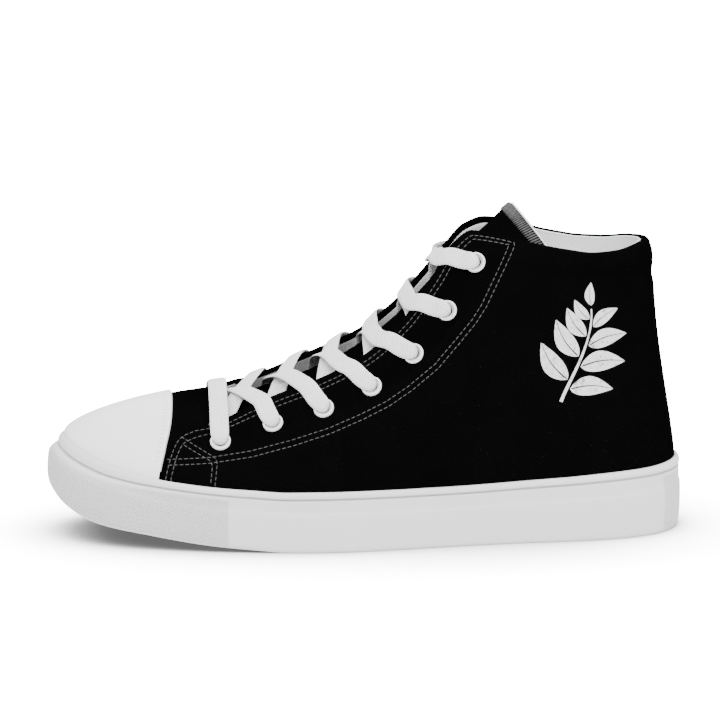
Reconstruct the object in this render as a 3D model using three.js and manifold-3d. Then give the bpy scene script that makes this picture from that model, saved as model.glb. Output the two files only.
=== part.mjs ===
// High top canvas sneaker, left shoe, standing empty on its sole.
// Millimetres. +Z is up, the toe points to -X and the lateral side faces -Y.
// The origin is on the floor, under the middle of the sole.

import * as THREE from 'three';
import { mergeVertices } from 'three/addons/utils/BufferGeometryUtils.js';
import Module from 'manifold-3d';

const wasm = await Module();
wasm.setup();

// Overall sizes
const SHOE_LENGTH = 295;
const BALL_WIDTH = 106;
const HEEL_WIDTH = 77;
const SOLE_HEIGHT = 27.5;
const TOE_SPRING = 23;
const UPPER_HEIGHT = 104;

// Walls, steps and clearances
const CANVAS = 1.8;
const QUARTER_STEP = 0.7;
const COLLAR_PADDING = 3.2;
const COLLAR_ROLL = 2.4;
const CAP_THICKNESS = 1.2;
const EYESTAY_FLARE = 2.2;
const FIT_GAP = 0.3;
const VAMP_LAP = 4;

// How far from the free edge the upper's shaping reaches down its wall
const FLARE_REACH = 22;
const ROLL_REACH = 5;
const PADDING_FULL = 18;
const PADDING_END = 42;

// Sole
const FEATHER_INSET = 3.6;
const TOE_RIM_INSET = 9.5;
const FLOOR_FOREFOOT = 12;
const FLOOR_HEEL = 17;
const CUP_TAPER = 2.2;
const TREAD_DEPTH = 2;
const TREAD_MARGIN = 8;
const TREAD_SLOT = 3;
const TREAD_PITCH = 13;

// Insole and tongue
const INSOLE_THICKNESS = 5;
const TONGUE_THICKNESS = 3.2;
const TONGUE_EASE = 1.4;

// Eyelets and lace
const EYELET_OUTER = 9.4;
const EYELET_BORE = 5;
const EYELET_WALL = 0.45;
const EYELET_FLANGE = 0.8;
const EYELET_SEAT = 0.6;
const EYELET_HOLE_DEPTH = 12;
const LACE_WIDTH = 8;
const LACE_THICKNESS = 1.1;
const LACE_CROWN = 2.5;
const LACE_CLEAR = 0.7;
const LACE_TUCK = 5;
const LACE_BAR_STAND = 3.5;

// Number of facets
const UPPER_STATIONS = 76;
const SOLE_STATIONS = 72;
const INNER_STATIONS = 48;
const EYELET_SIDES = 8;

// Skeleton of the last: two poles that the toe and the heel fan out from
const TOE_POLE = -0.186 * SHOE_LENGTH;
const HEEL_POLE = 0.322 * SHOE_LENGTH;
const HEEL_FAN = 0.22;
const TOE_FAN = 0.33;
const VAMP_EDGE = -0.232 * SHOE_LENGTH;

// Outline of the sole seen from above: along is a share of the length, across of the width there
const OUTLINE = [
  { along: 0.5, across: 0 },
  { along: 0.486, across: -0.205 },
  { along: 0.452, across: -0.362 },
  { along: 0.39, across: -0.476 },
  { along: 0.32, across: -0.522 },
  { along: 0.22, across: -0.545 },
  { along: 0.12, across: -0.521 },
  { along: 0.02, across: -0.503 },
  { along: -0.075, across: -0.507 },
  { along: -0.17, across: -0.486 },
  { along: -0.254, across: -0.45 },
  { along: -0.339, across: -0.393 },
  { along: -0.407, across: -0.322 },
  { along: -0.458, across: -0.226 },
  { along: -0.489, across: -0.105 },
  { along: -0.5, across: 0.05 },
  { along: -0.489, across: 0.195 },
  { along: -0.458, across: 0.296 },
  { along: -0.407, across: 0.367 },
  { along: -0.339, across: 0.423 },
  { along: -0.254, across: 0.463 },
  { along: -0.153, across: 0.486 },
  { along: -0.068, across: 0.46 },
  { along: 0.02, across: 0.405 },
  { along: 0.1, across: 0.4 },
  { along: 0.2, across: 0.445 },
  { along: 0.305, across: 0.49 },
  { along: 0.384, across: 0.462 },
  { along: 0.452, across: 0.345 },
  { along: 0.486, across: 0.196 },
];

// Height of the sole's lower edge, as a share of the toe spring
const SPRING = [
  { along: -0.5, lift: 1 },
  { along: -0.478, lift: 0.74 },
  { along: -0.427, lift: 0.455 },
  { along: -0.345, lift: 0.29 },
  { along: -0.254, lift: 0.125 },
  { along: -0.186, lift: 0.05 },
  { along: -0.13, lift: 0 },
  { along: 0.5, lift: 0 },
];

// Height of the sole's side wall, as a share of its height at the waist
const WALL = [
  { along: -0.478, height: 1.12 },
  { along: -0.434, height: 1.08 },
  { along: -0.397, height: 1.01 },
  { along: -0.342, height: 0.96 },
  { along: -0.251, height: 0.975 },
  { along: -0.075, height: 1 },
  { along: 0.1, height: 1 },
  { along: 0.295, height: 1.075 },
  { along: 0.373, height: 1.125 },
  { along: 0.43, height: 1.15 },
  { along: 0.49, height: 1.195 },
];

// Section of the side wall, from the floor to the rim: height is a share of the wall, inset is in
// from the outline. The toe's wall rolls over into a wide rim.
const WALL_SECTION = [
  { height: 0, inset: 1.6, toeHeight: 0, toeInset: 1.6 },
  { height: 0.05, inset: 0.5, toeHeight: 0.05, toeInset: 0.5 },
  { height: 0.3, inset: 0, toeHeight: 0.25, toeInset: 0 },
  { height: 0.64, inset: 0.1, toeHeight: 0.62, toeInset: 0.7 },
  { height: 0.655, inset: 0.8, toeHeight: 0.7, toeInset: 1.7 },
  { height: 0.865, inset: 0.8, toeHeight: 0.79, toeInset: 4.3 },
  { height: 0.88, inset: 1.4, toeHeight: 0.81, toeInset: 5.6 },
  { height: 0.9, inset: 0.6, toeHeight: 0.84, toeInset: 5.2 },
  { height: 0.955, inset: 0.6, toeHeight: 0.95, toeInset: 6.1 },
  { height: 1, inset: 1.5, toeHeight: 1, toeInset: 7.6 },
];

// Crest of the last over the skeleton: rise is a share of the upper's height above the sole wall,
// lean a share of the ball width towards the medial side
const CREST = [
  { along: -0.186, rise: 0.372, lean: 0.085 },
  { along: -0.136, rise: 0.425, lean: 0.085 },
  { along: -0.075, rise: 0.505, lean: 0.075 },
  { along: -0.007, rise: 0.615, lean: 0.066 },
  { along: 0.054, rise: 0.775, lean: 0.057 },
  { along: 0.098, rise: 0.945, lean: 0.047 },
  { along: 0.136, rise: 1.09, lean: 0.038 },
  { along: 0.163, rise: 1.155, lean: 0.033 },
  { along: 0.197, rise: 1.195, lean: 0.028 },
  { along: 0.231, rise: 1.225, lean: 0.02 },
  { along: 0.322, rise: 1.27, lean: 0 },
];

// Section of the last from the feather line to the crest: squeeze draws the side in on its way up,
// fullness and crown bend it over
const SECTION = [
  { along: -0.478, squeeze: 0, fullness: 1.5, crown: 1.6 },
  { along: -0.339, squeeze: 0.02, fullness: 1.7, crown: 1.8 },
  { along: -0.186, squeeze: 0.08, fullness: 2, crown: 2 },
  { along: -0.075, squeeze: 0.08, fullness: 2.2, crown: 2 },
  { along: -0.007, squeeze: 0.08, fullness: 2.5, crown: 2 },
  { along: 0.054, squeeze: 0.09, fullness: 3, crown: 2 },
  { along: 0.136, squeeze: 0.12, fullness: 4.5, crown: 2 },
  { along: 0.203, squeeze: 0.15, fullness: 8, crown: 2 },
  { along: 0.322, squeeze: 0.18, fullness: 12, crown: 2 },
  { along: 0.488, squeeze: 0.235, fullness: 14, crown: 2 },
];
const SQUEEZE_TOP = 0.76;
const SQUEEZE_CURVE = 1.25;

// Free edge of the upper seen from the side, as shares of the upper's height: throat, then collar
const EDGE = [
  { along: -0.237, lateral: 0.264, medial: 0.337 },
  { along: -0.197, lateral: 0.299, medial: 0.38 },
  { along: -0.146, lateral: 0.354, medial: 0.421 },
  { along: -0.075, lateral: 0.433, medial: 0.49 },
  { along: -0.007, lateral: 0.534, medial: 0.577 },
  { along: 0.054, lateral: 0.688, medial: 0.712 },
  { along: 0.098, lateral: 0.86, medial: 0.851 },
  { along: 0.136, lateral: 1.026, medial: 0.981 },
  { along: 0.163, lateral: 1.079, medial: 1.063 },
  { along: 0.197, lateral: 1.073, medial: 1.096 },
  { along: 0.237, lateral: 1.053, medial: 1.082 },
  { along: 0.305, lateral: 1.015, medial: 1.038 },
  { along: 0.346, lateral: 0.998, medial: 1.019 },
  { along: 0.383, lateral: 1.002, medial: 1.016 },
  { along: 0.424, lateral: 1.025, medial: 1.03 },
  { along: 0.451, lateral: 1.038, medial: 1.038 },
];

// Front edge of the quarters and back edge of the toe cap, seen from the side
const QUARTER_FRONT = [
  { along: -0.334, rise: -0.3 },
  { along: -0.318, rise: 0.035 },
  { along: -0.309, rise: 0.132 },
  { along: -0.292, rise: 0.212 },
  { along: -0.262, rise: 0.245 },
  { along: -0.228, rise: 0.268 },
  { along: -0.19, rise: 2 },
];
const CAP_BACK = [
  { along: -0.331, rise: -0.3 },
  { along: -0.326, rise: 0.038 },
  { along: -0.316, rise: 0.163 },
  { along: -0.306, rise: 0.265 },
  { along: -0.303, rise: 0.335 },
  { along: -0.303, rise: 2 },
];

// Tread: slots across the sole in these zones, and one wide recess under the arch
const TREAD_ZONES = [
  { from: -0.4, to: -0.03 },
  { from: 0.24, to: 0.43 },
];
const ARCH_MIDDLE = 0.1;
const ARCH_REACH = 0.19;

// Eyelet centres seen from the side
const EYELETS = [
  { along: -0.2325, lateral: 0.194, medial: 0.263 },
  { along: -0.151, lateral: 0.264, medial: 0.33 },
  { along: -0.0735, lateral: 0.331, medial: 0.393 },
  { along: 0, lateral: 0.426, medial: 0.473 },
  { along: 0.0645, lateral: 0.568, medial: 0.597 },
  { along: 0.116, lateral: 0.753, medial: 0.762 },
  { along: 0.161, lateral: 0.956, medial: 0.95 },
];

// Middle and side edge of the tongue seen from the side, from its front end to its top
const TONGUE = [
  { run: 0, along: -0.262, rise: 0.293, sideAlong: -0.23, sideRise: 0.15 },
  { run: 0.1, along: -0.195, rise: 0.33, sideAlong: -0.17, sideRise: 0.2 },
  { run: 0.22, along: -0.136, rise: 0.38, sideAlong: -0.107, sideRise: 0.255 },
  { run: 0.34, along: -0.075, rise: 0.447, sideAlong: -0.044, sideRise: 0.33 },
  { run: 0.47, along: -0.007, rise: 0.553, sideAlong: 0.022, sideRise: 0.43 },
  { run: 0.6, along: 0.054, rise: 0.692, sideAlong: 0.085, sideRise: 0.555 },
  { run: 0.71, along: 0.098, rise: 0.827, sideAlong: 0.14, sideRise: 0.7 },
  { run: 0.82, along: 0.14, rise: 0.965, sideAlong: 0.193, sideRise: 0.83 },
  { run: 0.92, along: 0.188, rise: 1.08, sideAlong: 0.242, sideRise: 0.93 },
  { run: 1, along: 0.225, rise: 1.19, sideAlong: 0.282, sideRise: 0.985 },
];

const COLORS = {
  canvas: 0x0b0b0c,
  coated: 0xe4e4e4,
  rubber: 0xdfdfde,
  footbed: 0xd8d8d6,
  enamel: 0xf2f2f0,
  lace: 0xf0f0ee,
};

const clamp01 = (t) => Math.min(1, Math.max(0, t));
const mix = (a, b, t) => a + (b - a) * t;
const smooth = (from, to, at) => {
  const t = clamp01((at - from) / (to - from));
  return t * t * (3 - 2 * t);
};

// Smooth curve through one column of a table, with no overshoot between its rows
function read(rows, column, at, key = 'along') {
  const last = rows.length - 1;
  if (at <= rows[0][key]) return rows[0][column];
  if (at >= rows[last][key]) return rows[last][column];
  let i = 0;
  while (at > rows[i + 1][key]) i += 1;
  const slope = (n) => (rows[n + 1][column] - rows[n][column]) / (rows[n + 1][key] - rows[n][key]);
  const tangent = (n) => {
    if (n === 0) return slope(0);
    if (n === last) return slope(last - 1);
    const before = slope(n - 1);
    const after = slope(n);
    return before * after <= 0 ? 0 : (2 * before * after) / (before + after);
  };
  const width = rows[i + 1][key] - rows[i][key];
  const t = (at - rows[i][key]) / width;
  const a = rows[i][column];
  const b = rows[i + 1][column];
  const ease = t * t * (3 - 2 * t);
  return mix(a, b, ease) + width * t * (1 - t) * (tangent(i) * (1 - t) - tangent(i + 1) * t);
}

const share = (x) => x / SHOE_LENGTH;
const springAt = (x) => TOE_SPRING * read(SPRING, 'lift', share(x));
const featherAt = (x) => springAt(x) + SOLE_HEIGHT * read(WALL, 'height', share(x));
const riseAt = (rise) => SOLE_HEIGHT + UPPER_HEIGHT * rise;
const toeBlend = (x) => smooth(-0.27, -0.47, share(x));
const floorAt = (x) => springAt(x) + mix(FLOOR_FOREFOOT, FLOOR_HEEL, smooth(-0.05, 0.25, share(x)));

// Dense outline of the sole
const outlineCurve = new THREE.CatmullRomCurve3(
  OUTLINE.map(({ along, across }) => {
    const width = mix(HEEL_WIDTH, BALL_WIDTH, smooth(0.25, -0.05, along));
    return new THREE.Vector3(along * SHOE_LENGTH, across * width, 0);
  }),
  true,
  'centripetal',
);
const outline = outlineCurve.getSpacedPoints(480);

// Where a ray from the skeleton leaves the outline, and the outline's own normal there
function outlineHit(from, direction) {
  for (let i = 0; i + 1 < outline.length; i += 1) {
    const a = outline[i];
    const b = outline[i + 1];
    const sideA = (a.x - from.x) * direction.y - (a.y - from.y) * direction.x;
    const sideB = (b.x - from.x) * direction.y - (b.y - from.y) * direction.x;
    if ((sideA > 0) !== (sideB > 0)) {
      const point = a.clone().lerp(b, sideA / (sideA - sideB));
      const ahead = (point.x - from.x) * direction.x + (point.y - from.y) * direction.y;
      if (ahead > 0) {
        const before = outline[(i + outline.length - 3) % (outline.length - 1)];
        const after = outline[(i + 4) % (outline.length - 1)];
        const normal = new THREE.Vector3(after.y - before.y, before.x - after.x, 0).normalize();
        if (normal.dot(direction) < 0) normal.negate();
        return { point, normal };
      }
    }
  }
  throw new Error('the skeleton lies outside the outline');
}

// A station goes round the shoe with u: 0 at the heel, 0.25 lateral, 0.5 at the toe, 0.75 medial
const stations = new Map();
function station(u) {
  const turn = ((u % 1) + 1) % 1;
  if (stations.has(turn)) return stations.get(turn);
  const side = turn < 0.5 ? -1 : 1;
  const t = turn < 0.5 ? 2 * turn : 2 * (1 - turn);
  let angle = Math.PI / 2;
  let x = mix(HEEL_POLE, TOE_POLE, clamp01((t - HEEL_FAN) / (1 - HEEL_FAN - TOE_FAN)));
  if (t < HEEL_FAN) angle = (Math.PI / 2) * (t / HEEL_FAN);
  if (t > 1 - TOE_FAN) angle = (Math.PI / 2) * (1 + (t - 1 + TOE_FAN) / TOE_FAN);
  const lean = BALL_WIDTH * read(CREST, 'lean', share(x));
  const axis = new THREE.Vector3(x, lean, 0);
  const direction = new THREE.Vector3(Math.cos(angle), side * Math.sin(angle), 0);
  const { point, normal } = outlineHit(axis, direction);
  const inset = mix(FEATHER_INSET, TOE_RIM_INSET, toeBlend(point.x));
  const base = point.clone().addScaledVector(normal, -inset);
  const found = { side, axis, outer: point, normal, inset, base };
  found.feather = featherAt(base.x);
  found.crest = riseAt(read(CREST, 'rise', share(x)));
  stations.set(turn, found);
  return found;
}

// How much of its width a section keeps at a height between the feather line and the crest
function widthLeft(x, zeta) {
  const squeeze = read(SECTION, 'squeeze', share(x));
  const fullness = read(SECTION, 'fullness', share(x));
  const crown = read(SECTION, 'crown', share(x));
  const drawn = Math.sin((Math.PI / 2) * clamp01(zeta / SQUEEZE_TOP)) ** SQUEEZE_CURVE;
  return (1 - squeeze * drawn) * Math.max(0, 1 - zeta ** fullness) ** (1 / crown);
}

// Point of the last at station u and height zeta: 0 at the feather line, 1 on the crest
function lastPoint(u, zeta) {
  const { axis, base, feather, crest } = station(u);
  const point = axis.clone().lerp(base, widthLeft(base.x, zeta));
  point.z = mix(feather, crest, zeta);
  return point;
}

function lastNormal(u, zeta) {
  const du = 0.002;
  const low = Math.max(0, Math.min(0.996, zeta) - 0.002);
  const along = lastPoint(u + du, low).sub(lastPoint(u - du, low));
  const up = lastPoint(u, low + 0.004).sub(lastPoint(u, low));
  return up.cross(along).normalize();
}

// Free edge of the upper, and whether a point of the last lies inside the opening
function edgeHeight(point, side) {
  return riseAt(read(EDGE, side < 0 ? 'lateral' : 'medial', share(point.x)));
}
function inOpening(point, side) {
  return point.x >= VAMP_EDGE && point.z >= edgeHeight(point, side);
}
function topOf(u) {
  const { side } = station(u);
  let low = 0;
  let high = 1;
  for (let n = 0; n < 24; n += 1) {
    const middle = (low + high) / 2;
    if (inOpening(lastPoint(u, middle), side)) high = middle;
    else low = middle;
  }
  return high;
}

// The eyestays stand a little off the instep near their free edge
function flareAt(point, left) {
  const along = smooth(-0.25, -0.19, share(point.x)) * smooth(0.26, 0.17, share(point.x));
  return EYESTAY_FLARE * along * (1 - smooth(0, FLARE_REACH, left));
}

// The collar's padding thickens the wall inwards below its edge, and rolls its outside over
const collarAt = (x) => smooth(0.2, 0.29, share(x));
function paddingAt(point, left) {
  const below = smooth(PADDING_END, PADDING_FULL, left) * smooth(-ROLL_REACH, ROLL_REACH, left);
  return COLLAR_PADDING * collarAt(point.x) * below;
}
function rollAt(point, left) {
  return COLLAR_ROLL * collarAt(point.x) * (1 - clamp01(left / ROLL_REACH)) ** 2;
}

// Rows of the upper from its lasted edge to its free edge, as shares of each rib above the feather
const UPPER_ROWS = [0, 0.14, 0.28, 0.42, 0.56, 0.68, 0.79, 0.88, 0.95, 1];

function skinPoint(u, zeta, offset) {
  const point = lastPoint(u, zeta);
  const left = point.distanceTo(lastPoint(u, topOf(u)));
  const depth = offset < 0 ? paddingAt(point, left) : rollAt(point, left);
  const lift = offset + flareAt(point, left) - depth;
  return point.addScaledVector(lastNormal(u, zeta), lift);
}
const upperPoint = (u, row, offset) => skinPoint(u, topOf(u) * row, offset);

function lastedPoint(u, offset) {
  const { base, normal } = station(u);
  const point = base.clone().addScaledVector(normal, offset - CUP_TAPER);
  point.z = floorAt(base.x) + FIT_GAP;
  return point;
}

// Meshes

function meshFrom(points, faces) {
  const geometry = new THREE.BufferGeometry();
  geometry.setAttribute('position', new THREE.Float32BufferAttribute(points.flatMap((p) => p.toArray()), 3));
  geometry.setIndex(faces.flat());
  return geometry;
}

function volumeOf(points, faces) {
  let sum = 0;
  for (const [a, b, c] of faces) sum += points[a].dot(points[b].clone().cross(points[c]));
  return sum / 6;
}

function outward(points, faces) {
  const turned = volumeOf(points, faces) < 0 ? faces.map(([a, b, c]) => [a, c, b]) : faces;
  return meshFrom(points, turned);
}

// Rings of points, one above the other. Ends are closed by strips across, or joined to each other.
function ringSolid(rings, joined = false) {
  const count = rings[0].length;
  const points = rings.flat();
  const faces = [];
  const spans = joined ? rings.length : rings.length - 1;
  for (let j = 0; j < spans; j += 1) {
    const low = j * count;
    const high = ((j + 1) % rings.length) * count;
    for (let i = 0; i < count; i += 1) {
      const next = (i + 1) % count;
      faces.push([low + i, low + next, high + next], [low + i, high + next, high + i]);
    }
  }
  if (!joined) {
    for (let i = 0; i < count / 2; i += 1) {
      const far = (count - i) % count;
      const farNext = count - i - 1;
      const top = (rings.length - 1) * count;
      for (const [start, turned] of [[0, true], [top, false]]) {
        const quad = [start + i, start + i + 1, start + farNext, start + far];
        for (const [a, b, c] of [[0, 1, 2], [0, 2, 3]]) {
          const face = turned ? [quad[a], quad[c], quad[b]] : [quad[a], quad[b], quad[c]];
          if (new Set(face).size === 3) faces.push(face);
        }
      }
    }
  }
  return outward(points, faces);
}

// An open patch of rows and columns, closed by its own back and its four sides
function patchSolid(front, back) {
  const rows = front.length;
  const columns = front[0].length;
  const points = [...front.flat(), ...back.flat()];
  const at = (layer, j, i) => layer * rows * columns + j * columns + i;
  const faces = [];
  const quad = (a, b, c, d) => faces.push([a, b, c], [a, c, d]);
  for (let j = 0; j + 1 < rows; j += 1) {
    for (let i = 0; i + 1 < columns; i += 1) {
      quad(at(0, j, i), at(0, j, i + 1), at(0, j + 1, i + 1), at(0, j + 1, i));
      quad(at(1, j, i), at(1, j + 1, i), at(1, j + 1, i + 1), at(1, j, i + 1));
    }
    quad(at(0, j, 0), at(0, j + 1, 0), at(1, j + 1, 0), at(1, j, 0));
    quad(at(0, j + 1, columns - 1), at(0, j, columns - 1), at(1, j, columns - 1), at(1, j + 1, columns - 1));
  }
  for (let i = 0; i + 1 < columns; i += 1) {
    quad(at(0, 0, i + 1), at(0, 0, i), at(1, 0, i), at(1, 0, i + 1));
    quad(at(0, rows - 1, i), at(0, rows - 1, i + 1), at(1, rows - 1, i + 1), at(1, rows - 1, i));
  }
  return outward(points, faces);
}

function toManifold(geometry) {
  const bare = geometry.clone();
  for (const name of Object.keys(bare.attributes)) {
    if (name !== 'position') bare.deleteAttribute(name);
  }
  const merged = mergeVertices(bare, 1e-4);
  return new wasm.Manifold(
    new wasm.Mesh({
      numProp: 3,
      vertProperties: new Float32Array(merged.attributes.position.array),
      triVerts: new Uint32Array(merged.index.array),
    }),
  );
}

function toGeometry(solid) {
  const { vertProperties, triVerts } = solid.getMesh();
  const geometry = new THREE.BufferGeometry();
  geometry.setAttribute('position', new THREE.BufferAttribute(vertProperties, 3));
  geometry.setIndex(new THREE.BufferAttribute(triVerts, 1));
  return geometry;
}

const ringOf = (count, place) => Array.from({ length: count }, (_, i) => place(i / count));

// A wall that stands in front of, or behind, an edge seen from the side
function sideBlock(edge, reach, shift = 0) {
  const shape = new THREE.Shape();
  const rise = (row) => riseAt(row.rise);
  shape.moveTo(reach, rise(edge[0]));
  for (const row of edge) shape.lineTo(row.along * SHOE_LENGTH + shift, rise(row));
  shape.lineTo(reach, rise(edge[edge.length - 1]));
  shape.closePath();
  const block = new THREE.ExtrudeGeometry(shape, { depth: 2 * BALL_WIDTH, bevelEnabled: false });
  block.rotateX(Math.PI / 2);
  block.translate(0, BALL_WIDTH, 0);
  return toManifold(block);
}

// Upper: vamp and quarters as one hollow wall, the quarters a step higher
function upperShell(outerOffset, innerOffset) {
  const rings = [ringOf(UPPER_STATIONS, (u) => lastedPoint(u, outerOffset))];
  for (const row of UPPER_ROWS) rings.push(ringOf(UPPER_STATIONS, (u) => upperPoint(u, row, outerOffset)));
  for (const row of [...UPPER_ROWS].reverse()) {
    rings.push(ringOf(UPPER_STATIONS, (u) => upperPoint(u, row, innerOffset)));
  }
  rings.push(ringOf(UPPER_STATIONS, (u) => lastedPoint(u, innerOffset)));
  return toManifold(ringSolid(rings, true));
}

function makeUpper() {
  const quarters = upperShell(QUARTER_STEP, -CANVAS).intersect(sideBlock(QUARTER_FRONT, SHOE_LENGTH));
  const vamp = upperShell(0, -CANVAS).intersect(sideBlock(QUARTER_FRONT, -SHOE_LENGTH, VAMP_LAP));
  const holes = eyeletSeats().map(eyeletHole);
  return toGeometry(holes.reduce((shell, hole) => shell.subtract(hole), quarters.add(vamp)));
}

// Toe cap: what lies between two larger forms of the last, in front of its back edge
function makeToeCap() {
  const ring = (row, offset) => ringOf(UPPER_STATIONS, (u) => upperPoint(u, row, offset));
  const rings = UPPER_ROWS.map((row) => ring(row, FIT_GAP + CAP_THICKNESS));
  for (const row of [...UPPER_ROWS].reverse()) rings.push(ring(row, FIT_GAP));
  const shell = toManifold(ringSolid(rings, true));
  return toGeometry(shell.intersect(sideBlock(CAP_BACK, -SHOE_LENGTH)));
}

// Sole: cup with a profiled side wall, a cavity for the upper and insole, and tread below
function wallPoint(u, row) {
  const { outer, normal, feather } = station(u);
  const toe = toeBlend(outer.x);
  const inset = mix(row.inset, row.toeInset, toe);
  const height = mix(row.height, row.toeHeight, toe);
  const point = outer.clone().addScaledVector(normal, -inset);
  point.z = mix(springAt(outer.x), feather, height);
  return point;
}

function cupPoint(u, depth) {
  const { base, normal, feather } = station(u);
  const cap = smooth(-0.28, -0.32, share(base.x)) * (CAP_THICKNESS + FIT_GAP - QUARTER_STEP);
  const clear = QUARTER_STEP + FIT_GAP + cap - CUP_TAPER * depth;
  const point = base.clone().addScaledVector(normal, clear);
  point.z = mix(feather, floorAt(base.x), depth);
  return point;
}

function treadCutter() {
  const loop = (height) => ringOf(INNER_STATIONS, (u) => {
    const { outer, normal } = station(u);
    const point = outer.clone().addScaledVector(normal, -TREAD_MARGIN);
    point.z = springAt(point.x) + height;
    return point;
  });
  const field = toManifold(ringSolid([loop(-TREAD_SLOT), loop(TREAD_DEPTH)]));
  const recesses = [{ x: ARCH_MIDDLE * SHOE_LENGTH, width: ARCH_REACH * SHOE_LENGTH }];
  for (const { from, to } of TREAD_ZONES) {
    for (let x = from * SHOE_LENGTH; x <= to * SHOE_LENGTH; x += TREAD_PITCH) {
      recesses.push({ x, width: TREAD_SLOT });
    }
  }
  return recesses.map(({ x, width }) => {
    const box = new THREE.BoxGeometry(width, 2 * BALL_WIDTH, 4 * TOE_SPRING);
    box.translate(x, 0, 0);
    return toManifold(box);
  }).reduce((all, one) => all.add(one)).intersect(field);
}

function makeSole() {
  const rings = WALL_SECTION.map((row) => ringOf(SOLE_STATIONS, (u) => wallPoint(u, row)));
  for (const depth of [0, 1]) rings.push(ringOf(SOLE_STATIONS, (u) => cupPoint(u, depth)));
  return toGeometry(toManifold(ringSolid(rings)).subtract(treadCutter()));
}

// Insole: footbed inside the upper's lasted edge
function makeInsole() {
  const loop = (height, tuck) => ringOf(INNER_STATIONS, (u) => {
    const point = lastedPoint(u, -CANVAS - FIT_GAP - tuck);
    point.z += height;
    return point;
  });
  return ringSolid([loop(0, 0.8), loop(1, 0), loop(INSOLE_THICKNESS, 0), loop(INSOLE_THICKNESS, 1.5)]);
}

// Station whose rib passes a point seen from the side
function ribAt(x, z, side) {
  let low = side < 0 ? 0 : 0.5;
  let high = low + 0.5;
  let zeta = 0;
  for (let n = 0; n < 40; n += 1) {
    const u = (low + high) / 2;
    const { feather, crest } = station(u);
    zeta = clamp01((z - feather) / (crest - feather));
    const ahead = lastPoint(u, zeta).x > x;
    if (ahead === side < 0) low = u;
    else high = u;
  }
  return { u: (low + high) / 2, zeta };
}

// Height of the last above a point of the toe's plan
function toeHeight(x, y) {
  const lean = BALL_WIDTH * read(CREST, 'lean', share(TOE_POLE));
  const angle = Math.atan2(Math.abs(y - lean), TOE_POLE - x);
  const t = 1 - (TOE_FAN * angle) / (Math.PI / 2);
  const u = y < lean ? t / 2 : 1 - t / 2;
  const { axis, base, feather, crest } = station(u);
  const kept = Math.hypot(x - axis.x, y - axis.y) / Math.hypot(base.x - axis.x, base.y - axis.y);
  let low = 0;
  let high = 1;
  for (let n = 0; n < 24; n += 1) {
    const middle = (low + high) / 2;
    if (widthLeft(base.x, middle) > kept) low = middle;
    else high = middle;
  }
  return mix(feather, crest, low);
}

// Place on the outer face of the quarters, seen from the side
function seatAt(x, z, side, offset = QUARTER_STEP) {
  const { u, zeta } = ribAt(x, z, side);
  return { point: skinPoint(u, zeta, offset), normal: lastNormal(u, zeta) };
}

// Tongue: a padded sheet that lies under the throat and rises above the collar
function tongueGrids() {
  const rows = 16;
  const across = [-1, -0.75, -0.5, -0.25, 0, 0.25, 0.5, 0.75, 1];
  const column = (name, run) => read(TONGUE, name, run, 'run');
  const front = [];
  const back = [];
  for (let j = 0; j <= rows; j += 1) {
    const run = j / rows;
    const middle = new THREE.Vector3(column('along', run) * SHOE_LENGTH, 0, riseAt(column('rise', run)));
    middle.y = BALL_WIDTH * read(CREST, 'lean', share(middle.x));
    const step = 0.02;
    const ahead = clamp01(run + step);
    const behind = clamp01(run - step);
    const slopeX = (column('along', ahead) - column('along', behind)) * SHOE_LENGTH;
    const slopeZ = (column('rise', ahead) - column('rise', behind)) * UPPER_HEIGHT;
    const up = new THREE.Vector3(-slopeZ, 0, slopeX).normalize();
    const frontRow = [];
    const backRow = [];
    for (const reach of across) {
      const side = reach < 0 ? -1 : 1;
      const turn = (Math.PI / 2) * Math.abs(reach);
      const edgeX = column('sideAlong', run) * SHOE_LENGTH;
      const edgeZ = riseAt(column('sideRise', run));
      const edge = seatAt(edgeX, edgeZ, side, -CANVAS - FIT_GAP - TONGUE_EASE).point;
      const point = middle.clone();
      point.x = mix(middle.x, edge.x, 1 - Math.cos(turn));
      point.z = mix(middle.z, edge.z, 1 - Math.cos(turn));
      point.y = mix(middle.y, edge.y, Math.sin(turn));
      if (point.x > TOE_POLE) {
        const limit = seatAt(point.x, point.z, side, -CANVAS - FIT_GAP - TONGUE_EASE).point;
        if (side * point.y > side * limit.y) point.y = limit.y;
      } else {
        const ceiling = toeHeight(point.x, point.y) - 1.2 * (CANVAS + FIT_GAP + TONGUE_EASE);
        point.z = Math.min(point.z, ceiling);
      }
      frontRow.push(point);
      const inwards = up.clone().multiplyScalar(Math.cos(turn)).setY(side * Math.sin(turn)).normalize();
      backRow.push(point.clone().addScaledVector(inwards, -TONGUE_THICKNESS));
    }
    front.push(frontRow);
    back.push(backRow);
  }
  return [front, back];
}

// Eyelets: a rolled ring on a barrel, each in a hole of the quarters
function eyeletSeats() {
  return EYELETS.flatMap((row, n) => [-1, 1].map((side) => {
    const rise = side < 0 ? row.lateral : row.medial;
    const seat = seatAt(row.along * SHOE_LENGTH, riseAt(rise), side);
    const name = `eyelet_${side < 0 ? 'lateral' : 'medial'}_${n + 1}`;
    return { ...seat, side, name };
  }));
}

function turnTo(geometry, { point, normal }) {
  const turn = new THREE.Quaternion().setFromUnitVectors(new THREE.Vector3(0, 1, 0), normal);
  return geometry.applyQuaternion(turn).translate(point.x, point.y, point.z);
}

function eyeletHole(seat) {
  const radius = EYELET_BORE / 2 + EYELET_WALL + FIT_GAP;
  return toManifold(turnTo(new THREE.CylinderGeometry(radius, radius, EYELET_HOLE_DEPTH, EYELET_SIDES), seat));
}

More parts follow.
